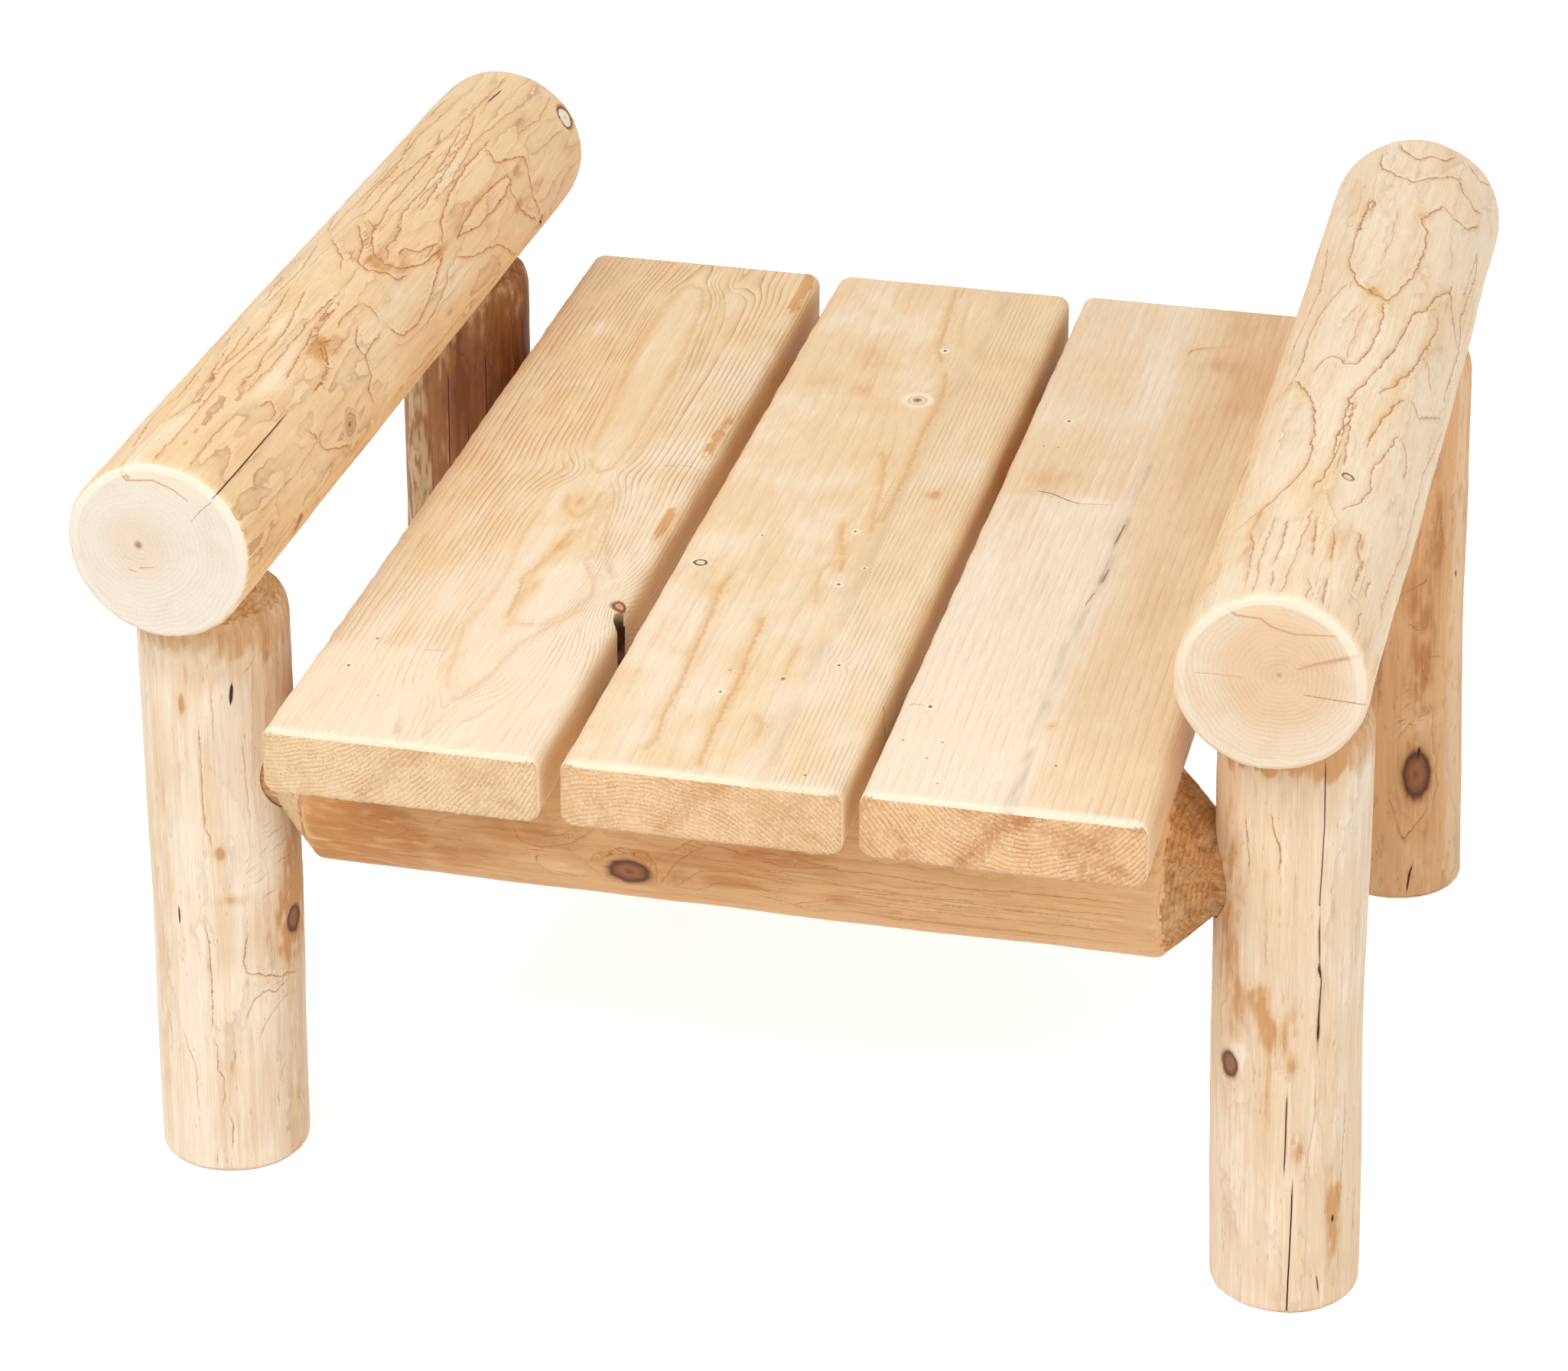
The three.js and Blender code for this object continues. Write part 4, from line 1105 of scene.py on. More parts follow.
REAR_RIGHT = {
    "foot": 1.6, "seed": 89, "levels": 1.1, "grain": (32, 200), "step": 0.3, "contrast": 0.45,
    "facing": -60, "tone": 0.25, "line_jag": 0.9,
    "strokes": marks("""
        0.8 214,-56 207,-59 204,-69 202,-77; 0.7 164,-62 150,-59 139,-52; 0.7 155,-66 145,-62; 0.6 185,-76
        177,-66 178,-59; 0.6 172,-52 158,-54 156,-39; 0.7 251,-46 239,-45 225,-42; 0.5 242,-64 224,-67; 0.6
        126,-81 132,-66; 0.6 116,-86 123,-69; 0.6 120,-66 125,-45; 0.6 137,-81 139,-66; 0.6 106,-83 116,-74
        117,-62; 0.6 110,-48 113,-37; 0.7 57,-85 41,-76 51,-64 61,-53; 0.5 71,-90 52,-79; 0.5 91,-48 74,-43
        61,-49; 0.5 22,-63 25,-51"""),
    "knots": [(83, -64, 15, 8.5, "dark")],
    "checks": marks("""
        0.35 2,-73 18,-70 28,-66; 0.8 94,-63 101,-62; 0.5 203,-24 208,-24"""),
    "hills": [(83, -64, 36, 14, 1.6), (138, -62, 24, 10, 0.9)],
    "stains": [(83, -64, 34, 16, 0.6), (119, -62, 10, 12, -1), (30, -70, 50, 60, -0.4),
               (120, -20, 240, 7, -1.6), (150, -60, 16, 7, 0.9), (175, -60, 14, 8, 0.8),
               (45, -58, 9, 8, 0.5), (230, -48, 30, 5, 0.7), (200, -70, 14, 9, 0.5),
               (124, -56, 4, 10, 0.9)],
}
FRONT_RAIL = {
    "seed": 101, "levels": 1.4, "grain": (30, 260), "step": 0.25, "contrast": 0.4, "facing": -160,
    "tone": 0.25, "line_jag": 0.8,
    "strokes": marks("""
        0.8 223,-168 229,-173 238,-176 246,-173 249,-163 246,-150; 0.6 215,-163 221,-172 234,-179 248,-178
        254,-165 249,-148; 0.6 177,173 182,-176 193,-172 209,-178 219,172; 0.5 187,174 195,179 205,176
        211,170; 0.6 251,-149 264,-175 279,172 298,175 321,171 349,165; 0.6 258,-149 275,-169 291,-172
        310,-169 327,-167; 0.5 257,-179 275,168 296,167; 0.6 268,-149 285,-161 302,-162 320,-156; 0.5
        96,-180 112,-180 125,-174 112,-165 95,-163; 0.4 68,-156 84,-156 103,-153 127,-154; 0.5 100,-143
        130,-135; 0.5 103,-151 132,-149 165,-145 190,-143; 0.4 135,-176 141,176 152,172; 0.8 189,-157
        190,-167 198,-167; 0.7 197,-154 207,-152 218,-153; 0.6 222,-168 224,-166; 0.6 302,178 318,-179
        342,178 369,179 404,-178 444,180 491,179; 0.6 317,-146 333,-154 346,-159 365,-157 413,-157 460,-159
        493,-158; 0.6 329,-143 349,-148 380,-146 428,-146 492,-146; 0.5 302,-175 326,-174 355,-170 385,-169
        432,-170 493,-172; 0.5 350,-165 391,-164 441,-166 491,-165; 0.6 301,-155 320,-149 335,-139; 0.5
        368,-143 412,-140 459,-141; 0.5 302,172 321,175 342,173"""),
    "knots": [(238, -161, 10.5, 8, "dark")],
    "hills": [(238, -161, 34, 16, 1.8), (300, -168, 26, 9, 0.8), (380, -165, 40, 9, 0.8)],
    "stains": [(238, -161, 26, 14, 0.5), (90, -165, 60, 60, 0.8), (470, -160, 120, 60, -0.3),
               (200, -158, 26, 5, -0.9), (287, -162, 20, 5, 0.7), (346, -159, 9, 5, 1.2),
               (110, -170, 24, 10, 0.5), (134, 178, 16, 8, -0.7), (440, -166, 60, 3, -0.6),
               (420, -146, 80, 3, 0.6), (320, 176, 50, 12, 0.5), (194, 175, 24, 12, 0.3),
               (54, -150, 9, 90, -4)],
}
REAR_RAIL = {
    "seed": 113, "levels": 2.0, "grain": (30, 220), "step": 0.3, "contrast": 0.8, "facing": 0, "tone": 0.15,
    "knots": [(310, 20, 9, 7, "dark")],
    "hills": [(310, 20, 30, 14, 2), (150, -10, 24, 9, 1.4)],
}


# Planks. Places on a plank are (from its left edge, from its front end).

PLANK_BEVEL, PLANK_ROWS = 3.0, 236
TOP_COLUMNS, SIDE_COLUMNS, EASE_COLUMNS = 62, 9, 6
END_SHARES = (0.97, 0.85, 0.7, 0.55, 0.4, 0.27, 0.15, 0.06, 0.0)
PLAIN_PLANK = {"knots": [], "stains": [], "strokes": [], "greys": [], "marks": [], "side_marks": [],
               "dents": []}
# The gap that a fallen knot has left in the left plank's right edge: its place, its half sizes, and the
# rows, columns and reach of its cutter
GAP_X, GAP_Y, GAP_RADIUS_X, GAP_RADIUS_Y = 142.0, 161.0, 6.5, 9.0
GAP_ROWS, GAP_COLUMNS, GAP_REACH = 24, 48, 25


def plank_outline():
    """A plank's section as (x, z) from its centre, with the outward direction at each point."""
    half_x, half_z = PLANK_WIDTH / 2 - PLANK_EASE, PLANK_THICK / 2 - PLANK_EASE
    corners = ((half_x, half_z), (-half_x, half_z), (-half_x, -half_z), (half_x, -half_z))
    points, ways = [], []
    for k, corner in enumerate(corners):
        turns = [math.radians(90 * k + 90 * j / EASE_COLUMNS) for j in range(EASE_COLUMNS + 1)]
        arc = [np.array((math.cos(a), math.sin(a))) for a in turns]
        points += [corner + PLANK_EASE * way for way in arc]
        ways += arc
        count = SIDE_COLUMNS if k % 2 else TOP_COLUMNS
        run = np.subtract(corners[(k + 1) % 4], corner)
        points += [points[-1] + run * j / count for j in range(1, count)]
        ways += [arc[-1]] * (count - 1)
    return np.array(points)[::-1], np.array(ways)[::-1]


def hump(x, y, mark):
    """A rounded bump over a mark's place, in shares of its size."""
    return np.exp(-((x - mark[0]) / mark[2]) ** 2 - ((y - mark[1]) / mark[3]) ** 2)


def from_knot(x, y, mark):
    return np.hypot((x - mark[0]) / mark[2], (y - mark[1]) / mark[3])


class Plank:
    def __init__(self, index, name, look):
        self.index, self.name, self.look = index, name, {**PLAIN_PLANK, **look}
        middle = Vector((PLANK_X[index], PLANK_FRONT + PLANK_STAGGER[index] + PLANK_LENGTH / 2,
                         SEAT_UNDER + PLANK_THICK / 2))
        self.matrix = Matrix.Translation(middle * MM + SHIFT)

    def build(self):
        outline, ways = plank_outline()
        columns, half_length = len(outline), PLANK_LENGTH / 2
        head = [(-half_length, PLANK_BEVEL, share, END) for share in END_SHARES]
        for angle in (30, 60, 90):
            y, inset = (PLANK_BEVEL * (1 - turn(math.radians(angle))) for turn in (math.cos, math.sin))
            head.append((y - half_length, inset, 0.0, SIDE))
        step = 2 * (half_length - PLANK_BEVEL) / PLANK_ROWS
        body = [(PLANK_BEVEL - half_length + step * k, 0.0, 0.0, SIDE) for k in range(1, PLANK_ROWS)]
        rows = head + body + [(-y, inset, share, surface) for y, inset, share, surface in head[::-1]]
        spine = PLANK_WIDTH / 2 - PLANK_THICK / 2
        points = []
        for y, inset, share, _ in rows:
            x, z = (outline - ways * inset).T
            points.append(np.stack([x + (np.clip(x, -spine, spine) - x) * share,
                                    np.full(columns, y), z * (1 - share)], -1))
        p = np.concatenate(points)
        out_x, out_z = np.tile(ways, (len(rows), 1)).T
        inner = np.repeat([row[2] for row in rows], columns)
        depth = self.relief(p, out_x, out_z) * (1 - inner)
        p[:, 0] -= out_x * depth
        p[:, 2] -= out_z * depth
        rough = 0.15 + 0.22 * cloud(p[:, 0] / 2.4, p[:, 2] / 2.4, self.index * 7.7, 2, 3)
        rough += 0.12 + 0.12 * np.sin(p[:, 0] * 1.9 + 0.4 * p[:, 2])
        middle = smooth(0.7, 0.97, inner)
        rough = rough * (1 - middle) + 0.2 * middle
        end = np.repeat([row[3] == END for row in rows], columns)
        p[:, 1] += np.where(end, -np.sign(p[:, 1]) * np.clip(rough, 0, 0.7), 0)
        p = np.vstack([p, [0, 0.2 - half_length, 0], [0, half_length - 0.2, 0]])
        mesh = mesh_of(self.name, p, turned_faces(len(rows), columns))
        self.obj = add_object(self.name + "_wood", mesh, self.matrix)
        return self

    def spots(self):
        return [((x - PLANK_WIDTH / 2, y - PLANK_LENGTH / 2, PLANK_THICK / 2), (size_x, size_y, 4.0), style)
                for x, y, size_x, size_y, style in self.look["knots"]]

    def relief(self, p, out_x, out_z):
        """How far the surface lies inside the plain plank."""
        look, seed = self.look, self.look["seed"]
        x, y, z = p[:, 0] + PLANK_WIDTH / 2, p[:, 1] + PLANK_LENGTH / 2, p[:, 2]
        top, under = smooth(0.3, 0.9, out_z), smooth(0.3, 0.9, -out_z)
        corner = (np.abs(out_x) > 0.1) & (np.abs(out_z) > 0.1)
        wave = 0.12 + 0.18 * cloud(p[:, 0] / 30, p[:, 1] / 90, z / 30, 2, seed + 1)
        edge = 0.25 + 0.5 * cloud(p[:, 1] / 18, np.sign(p[:, 0]) * 9, z / 40, 2, seed + 2)
        depth = np.clip(wave, 0, 0.6) + np.where(corner, np.clip(edge, 0, 1.1), 0)
        for dent in look["dents"]:
            depth += top * dent[4] * hump(x, y, dent)
        for knot in look["knots"]:
            k = from_knot(x, y, knot)
            depth += top * (0.35 * np.exp(-((k - 1) / 0.3) ** 2) - 0.1 * np.exp(-k ** 2))
        furry = np.clip(0.8 + cloud(x / 3, y / 8, z, 2, seed + 8), 0, 2)
        return np.maximum(depth + 0.8 * smooth(14, 0, y) * under * furry, 0)

    def finish(self, materials):
        """Computes the fields that the materials read, and sorts the faces by surface."""
        mesh, look, seed = self.obj.data, self.look, self.look["seed"]
        p = vectors(mesh.vertices, "co") / MM
        x, y, below = p[:, 0] + PLANK_WIDTH / 2, p[:, 1] + PLANK_LENGTH / 2, PLANK_THICK / 2 - p[:, 2]
        ring, grain, tone = look["field"](x, y, below)
        ring = ring + look["jag"] * cloud(x / 9, y / 60, below / 9, 2, seed)
        for knot in look["knots"]:
            if knot[4] != "speck":
                ring = ring + 1.2 * np.exp(-(from_knot(x, y, knot) / 2.2) ** 2)
        rag = np.clip(0.8 + 0.8 * cloud(x / 5, y / 20, below / 9, 2, seed + 41), 0.1, 1.5)
        for stain in look["stains"]:
            tone = tone + stain[4] * rag * hump(x, y, stain) * (below < 4)
        tone = tone + 0.22 * cloud(x / 30, y / 110, below / 30, 3, seed + 5)
        grey = np.zeros(len(x))
        for path, reach, amount in look["greys"]:
            rag = np.clip(0.5 + 1.3 * cloud(x / 3, y / 30, below, 2, seed + 50), 0, 1.4)
            grey += amount * np.exp(-(side_distance(x, y, path)[0] / reach) ** 2) * rag * (below < 4)
        strokes = [([(v, u) for u, v in path], strength) for path, strength in look["strokes"]]
        line, force = line_fields(y, x, strokes, 0.8, seed + 77, 6.0)
        crack, crack_width = np.full(len(x), 9.0), np.full(len(x), -3.0)
        cracks = [(side_distance(x, y, path), width, below < 2) for path, width in look["marks"]]
        cracks += [(side_distance(y, below, path), width, x > PLANK_WIDTH - 3.5)
                   for path, width in look["side_marks"]]
        for (best, sign), width, there in cracks:
            near = (best < 6) & (best < np.abs(crack)) & there
            crack = np.where(near, best * sign, crack)
            crack_width = np.where(near, width - 0.25 - np.clip(best - 2, 0, None), crack_width)
        set_fields(mesh, ring=ring, grain=grain, tone=np.clip(tone, -1, 1.5), knot=np.full(len(x), 3.0),
                   crack=crack, crack_width=crack_width, line=line, force=force * (below < 5),
                   grey=np.clip(grey, 0, 0.8))
        dress(self.obj, self.name, materials, self.surfaces())

    def surfaces(self):
        """Which surface each face belongs to."""
        mesh = self.obj.data
        c, n = vectors(mesh.polygons, "center") / MM, vectors(mesh.polygons, "normal")
        ends = (np.abs(c[:, 1]) > PLANK_LENGTH / 2 - 1.3) & (c[:, 2] < PLANK_THICK / 2 - 3.3)
        inside = (np.abs(c[:, 0]) < PLANK_WIDTH / 2 - 2.5) & (np.abs(c[:, 2]) < PLANK_THICK / 2 - 2.5)
        out = np.where(ends, END, np.where(inside, CUT, SIDE))
        if self.index == 0:
            x, y = c[:, 0] + PLANK_WIDTH / 2, c[:, 1] + PLANK_LENGTH / 2
            k = from_knot(x, y, (GAP_X, GAP_Y, GAP_RADIUS_X, GAP_RADIUS_Y))
            # The gap's walls take the near-black material: painted shade deep in the hole.
            out = np.where((k < 1.25) & (np.abs(n[:, 2]) < 0.25) & (x < PLANK_WIDTH - 0.7), HOLE_SHADE, out)
        return out


def gap_cutter():
    angle = np.arange(GAP_COLUMNS) * 2 * math.pi / GAP_COLUMNS
    x, y = np.cos(angle), np.sin(angle)
    points = []
    for k in range(GAP_ROWS):
        z = -GAP_REACH + 2 * GAP_REACH * k / (GAP_ROWS - 1)
        wave = 1 + 0.05 * cloud(x * 2, y * 2, z / 9, 1, 5)
        grow = 1 + 0.10 * math.cos(k / (GAP_ROWS - 1) * math.pi)
        points.append(np.stack([x * GAP_RADIUS_X * wave * grow, y * GAP_RADIUS_Y * wave,
                                np.full(GAP_COLUMNS, z)], -1))
    p = np.vstack([*points, [0, 0, -GAP_REACH], [0, 0, GAP_REACH]])
    centre = Vector((PLANK_X[0] - PLANK_WIDTH / 2 + GAP_X, PLANK_FRONT + GAP_Y, SEAT_UNDER + PLANK_THICK / 2))
    return add_object("gap", mesh_of("gap", p, turned_faces(GAP_ROWS, GAP_COLUMNS)),
                      Matrix.Translation(centre * MM + SHIFT))


# How widely a curve is smoothed
CURVE_BLUR, CURVE_REACH = 9.0, 40


def curve(points):
    """A smooth curve through (y, value) points."""
    keys, values = zip(*points)
    fine = np.arange(-60.0, 700.0)
    kernel = np.exp(-(np.arange(-CURVE_REACH, CURVE_REACH + 1) / CURVE_BLUR) ** 2)
    raw = np.pad(np.interp(fine, keys, values), CURVE_REACH, mode="edge")
    raw = np.convolve(raw, kernel / kernel.sum(), mode="valid")
    return lambda y: np.interp(y, fine, raw)


# How far along the left plank the cathedral grain's centre lies from its left edge, and its half width
FIRST_CENTRE = curve([(0, 80), (54, 81), (76, 83), (98, 83), (130, 86), (150, 90), (175, 97), (200, 97),
                      (222, 92), (250, 86), (300, 83), (330, 84), (362, 81.5), (425, 79.5), (472, 76.5),
                      (532, 73), (596, 70), (630, 72)])
FIRST_WIDTH = curve([(0, -6), (40, -3), (54, 0), (60, 4), (76, 10), (98, 13), (114, 15), (130, 18), (150, 22),
                     (175, 27), (200, 28), (222, 24), (250, 21), (275, 18), (300, 12), (320, 3), (330, 3),
                     (346, 8.5), (362, 10.5), (425, 11.5), (472, 13), (532, 12), (576, 9.5), (590, 5),
                     (597, 0), (630, -3)])


def pale_front_and_shaded_sides(y, below):
    """What all planks share: paler at the front end, partly bruised wood and partly a painted highlight on
    the lit front edge, and darker and warmer down their sides and beneath, painted shade of the gaps
    between the planks.
    """
    return -0.55 * (1 - smooth(1.5, 6, y)) + 0.5 * smooth(2, 9, below)


def first_field(x, y, below):
    """The left plank's rings, how strongly they show, and its tone."""
    centre, width = FIRST_CENTRE(y), FIRST_WIDTH(y)
    left = 68 + (centre - width - 68) * np.exp(-np.clip(68 - x, 0, None) / 17) - x
    right = x - 95 - (centre + width - 95) * np.exp(-np.clip(x - 95, 0, None) / 17)
    outside = (left + right + np.sqrt((left - right) ** 2 + 36)) / 2 - 3
    hill = np.exp(-((y - 168) / 40) ** 2 - ((x - 144) / 26) ** 2)
    field = np.where(outside > 0, outside / 3.1, outside / 30) + 6 * hill + below / 3.0
    field += 1.1 * cloud(outside / 9, y / 300, below / 9 + 1.5, 1, 133) * smooth(0, 4, outside)
    grain = 0.52 + 0.4 * smooth(160, 330, y) + 0.3 * hill
    grain = grain * smooth(-2, 3, outside) * (0.55 + 0.45 * smooth(88, 106, y)) + 0.08
    # The rise of the tone towards the rear end darkens the top there: painted fall-off of the light towards
    # the back of the seat.
    tone = -0.5 + 0.40 * smooth(90, 520, y) + 0.1 * smooth(560, 630, y) + 0.25 * smooth(94, 103, y) * (x < 66)
    wane = smooth(560, 580, y) + smooth(352, 362, y) * smooth(425, 405, y)
    wane += smooth(248, 256, y) * smooth(300, 290, y)
    torn = np.exp(-((x - 135) / 3.4) ** 2) * (1 + 0.7 * cloud(x / 4, y / 13, below / 4, 2, 137))
    return field, grain, tone + 1.3 * smooth(0.55, 0.72, torn) * wane + pale_front_and_shaded_sides(y, below)


def second_field(x, y, below):
    dense = smooth(88, 104, x + 0.4 * (6 * np.sin(y / 140) + 4 * np.sin(y / 61 + 1)))
    field = x / (9 - 6.2 * dense) + 0.35 * np.sin(y / 80) + below / 3.0
    field += 1.2 * np.exp(-((x - 82) / 14) ** 2 - ((y - 460) / 40) ** 2)
    # The rise of the tone towards the rear end darkens the top there: painted fall-off of the light towards
    # the back of the seat.
    tone = -0.25 + 0.3 * smooth(100, 500, y) + pale_front_and_shaded_sides(y, below)
    tone += 0.3 * cloud(x / 40, y / 36, below / 30, 3, 401) * (1 - 0.7 * dense)
    return field, 0.2 + 0.42 * dense, tone


def third_field(x, y, below):
    field = x / 5.5 + 0.5 * np.sin(y / 120) + below / 3.0
    # The rise of the tone towards the rear end darkens the top there: painted fall-off of the light towards
    # the back of the seat.
    tone = -0.5 + 0.55 * smooth(66, 100, x) + 0.45 * smooth(100, 560, y) + pale_front_and_shaded_sides(y, below)
    tone += 0.4 * smooth(346, 354, y) * (x < 66) * smooth(460, 400, y) - 0.25 * np.exp(-((x - 60) / 12) ** 2)
    return field, 0.22 + 0.2 * smooth(80, 130, x), tone


# Looks of the planks

FIRST = {
    "seed": 131, "field": first_field, "jag": 0.14,
    "knots": [(137.5, 171.5, 5.4, 5.6, "curl"), (27, 106, 2.2, 2.6, "speck"), (22, 74, 2.2, 2.6, "speck"),
              (46, 46, 1.6, 2, "speck")],
    "strokes": marks("""
        0.4 67,275 65,243 69,201 70,175 69,151 66,130 68,114 70,98 73,76 78,56; 0.45 78,54 85,52 89,64 93,76
        95,87 96,98 98,115 110,143 122,166; 0.7 84,139 83,169 80,192 84,208 87,227 89,243 90,258; 0.45
        84,135 93,139 103,140 109,150 116,163 120,178 117,192 109,211 102,228; 0.6 74,298 79,278 88,267
        93,281 92,306; 0.55 74,346 70,394 68,425 63,472 61,502 61,556 64,584 69,594 77,589 81,576 84,554
        89,493 91,424 92,364 89,332 84,326 78,334 74,346; 0.35 86,622 90,591 95,552 99,499 100,448 100,390
        99,355 95,337; 0.45 126,197 117,219 107,253 102,283 99,310; 0.4 110,217 99,251 97,288 94,318"""),
    "stains": [(87, 175, 5, 34, 0.9), (91, 232, 6, 16, 0.9), (84, 284, 7, 20, 0.9), (85, 575, 3, 14, 0.7),
               (125, 358, 14, 14, -0.9), (32, 518, 16, 14, -0.6), (44, 441, 12, 8, -0.6),
               (100, 180, 12, 30, -0.3), (120, 140, 22, 30, -0.5)],
    "marks": marks("""
        0 116,342 126,346 135,343; 0 55,99 63,101"""),
    "dents": [(124, 352, 12, 6, 0.4)],
}
SECOND = {
    "seed": 149, "field": second_field, "jag": 0.1,
    "knots": [(82.5, 459.7, 5, 6, "small"), (14.2, 228.6, 3.6, 3.4, "ring"), (85, 284, 2.6, 3, "pin"),
              (99, 242, 2, 2.4, "pin"), (90, 220, 2.6, 3, "pin"), (110, 130, 2.6, 3, "pin"),
              (59, 88, 2.6, 3, "pin"), (84, 532, 3, 4, "pin"), (58, 112, 1.6, 2, "speck"),
              (86, 109, 3, 4, "speck"), (119, 13, 2, 2.6, "speck"), (38, 268, 1.6, 2, "speck")],
    "strokes": marks("""
        0.75 73,629 74,596 78,557 79,537 86,512; 0.35 81,627 86,571 93,534; 0.8 90,505 94,476 95,446 94,409
        96,370 96,332 96,294; 0.7 76,390 81,377 86,347 90,310 93,280; 0.8 76,296 79,274 85,252 88,230; 0.8
        34,222 31,201 34,171 35,141 36,114 38,83 38,55 40,33 37,18; 0.9 60,177 62,157 63,126 65,100 65,74
        65,50 66,27 67,6; 0.6 86,151 85,126 86,109; 0.6 82,72 87,58 88,40; 0.5 83,274 85,253 77,233 83,193;
        0.3 103,14 101,36 100,66"""),
    "stains": [(116, 340, 5, 7, 1.1), (49, 465, 7, 9, 0.6), (40, 560, 22, 26, -0.5), (20, 470, 16, 12, 0.4),
               (60, 425, 20, 14, -0.3), (30, 200, 10, 8, 0.4)],
    "side_marks": marks("""
        0.35 99,6 98,13 100,18 102,24"""),
}
THIRD = {
    "seed": 167, "field": third_field, "jag": 0.08,
    "knots": [(16, 94, 3.4, 3.8, "pin"), (23, 449, 3, 3.4, "pin"), (10, 57, 1.8, 2.2, "speck"),
              (29, 59, 1.8, 2.2, "speck"), (25, 41, 1.8, 2.2, "speck"), (35, 17, 1.8, 2.2, "speck"),
              (87, 48, 1.8, 2.2, "speck"), (15, 413, 1.8, 2.2, "speck"), (23, 413, 1.8, 2.2, "speck")],
    "greys": marks("""
        2.6 0.3 75,400 74,338 76,257 70,194 70,130 72,50 73,0; 1.8 0.5 75,330 74,250; 4 0.18 72,60 73,4"""),
    "strokes": marks("""
        0.5 73,556 76,566 84,570 99,575; 0.25 1,346 12,350 24,354"""),
    "stains": [(78, 88, 2.5, 3, 1.2), (36, 372, 24, 14, 0.4), (90, 545, 16, 10, 0.4)],
    "marks": marks("""
        0.25 24,354 30,353 37,349 46,345; 0 46,345 55,345 64,346; 0.2 75,322 74,300; 0.15 76,268 75,252; 0.1
        73,238 71,224; 0.05 73,556 75,565 82,569; 0.1 6,95 12,95"""),
    "dents": [(40, 346, 16, 4, 0.8), (86, 566, 12, 5, 0.5)],
}


# Materials

ARM_CUT = cut_wood("arm_cut_wood", (226, 180, 128), (176, 118, 66))
POST_CUT = cut_wood("post_cut_wood", (236, 196, 146), (196, 136, 82))
# The rear left post's cut wood is dark brown: painted shade of the arm and seat over it.
REAR_LEFT_SHADED_CUT = cut_wood("rear_left_post_shaded_cut_wood", (190, 134, 84), (130, 80, 44), fair=(206, 158, 112))
# The rails' cut shoulders are darker than the posts': partly the wood's own tone, partly painted shade under
# the planks.
RAIL_CUT = cut_wood("rail_cut_wood", (226, 172, 114), (166, 104, 56))
PLANK_CUT = cut_wood("plank_cut_wood", (222, 176, 124), (176, 118, 66), along=1)
# Near-black wood for the walls of the gap in the left plank: painted shade deep in the hole.
PLANK_HOLE_SHADE = cut_wood("plank_hole_shade_wood", (96, 56, 34), (40, 22, 14), along=1)

POST_SIDE = side_wood("post_wood", (237, 210, 176), (248, 231, 208), (212, 160, 108), (146, 94, 52),
                      jag=0.2, stripe=0.16, speck=0.3, edges=FINE)
# The rear right post's colours are darker and warmer than the front posts': partly the wood's own orange
# tone, partly painted shade of the arm and seat.
REAR_RIGHT_SHADED_SIDE = side_wood("rear_right_post_wood", (234, 184, 132), (240, 204, 162), (198, 136, 84),
                            (130, 76, 40), jag=0.2, stripe=0.14, speck=0.5)
# The rear left post's side wood is dark brown: painted shade of the arm and seat over it.
REAR_LEFT_SHADED_SIDE = side_wood("rear_left_post_wood", (166, 108, 62), (206, 168, 126), (130, 74, 36),
                           (66, 36, 20), jag=0.2, stripe=0.2, speck=0.6)
# The rails' side colours are darker and warmer than the posts': partly the wood's own tone, partly painted
# shade under the planks.
RAIL_SIDE = side_wood("rail_wood", (234, 184, 130), (242, 202, 152), (204, 142, 84), (140, 84, 42),
                      jag=0.12, stripe=0.12, edges=FINE)

LEFT_END = end_wood(
    "left_arm_end_wood", (238, 227, 211), (228, 204, 176), (234, 214, 192), (-10, -2), 2.6, 16,
    checks=0.15, rings=0.28, rim=47.0, spot=0.8, streaks=[
        ([(-16, -42), (0, -41.5), (14, -37), (27, -30)], 3.2, 2.4, (247, 226, 196), 0.7),
        ([(-17.4, -40.5), (-14.4, -36.7), (-0.3, -38.4), (9.5, -34.6), (17.2, -29.3)],
         0.8, 0.5, ORANGE, 0.75),
        ([(-17, -42), (-13, -38)], 2.2, 1.5, ORANGE, 0.6),
        ([(37.9, -38), (23.7, -24.7), (18.5, -18.3)], 0.5, 0.25, UMBER, 0.7),
        ([(-10, 10.4), (-3.1, 9.5)], 0.7, 0.4, ORANGE, 0.7), ([(-16, 12), (-12, 13)], 0.8, 0.4, ORANGE, 0.6)])
RIGHT_END = end_wood(
    "right_arm_end_wood", (237, 217, 190), (216, 176, 132), (232, 198, 163), (3.6, -5.2), 2.4, 28,
    checks=0.12, rings=0.38, rim=45.5, spot=0.85, streaks=[
        ([(-22, -40), (0, -36), (18, -32), (32, -29)], 4.5, 2.0, (240, 206, 168), 0.6),
        ([(-22.2, -37), (-18.4, -33.9), (-6.4, -33.3), (-1.6, -29.8), (9.5, -27), (29.5, -28.4)],
         0.9, 0.6, ORANGE, 0.7),
        ([(12, -9), (20, -12.5), (32, -16.5), (45, -21)], 0.6, 2.4, (194, 134, 94), 0.6),
        ([(14, -10), (30, -14.5)], 3.2, 2.0, (222, 178, 142), 0.4),
        ([(16, 4), (30, 5), (40, 5.4), (47, 5.7)], 0.4, 0.7, UMBER, 0.6),
        ([(-36, -1.6), (-26, -1.9), (-14, -1.7)], 0.4, 0.4, ORANGE, 0.5)])
POST_END = end_wood("post_end_wood", (240, 208, 166), (200, 146, 96), (226, 184, 140), (4, 3), 2.4, 20)
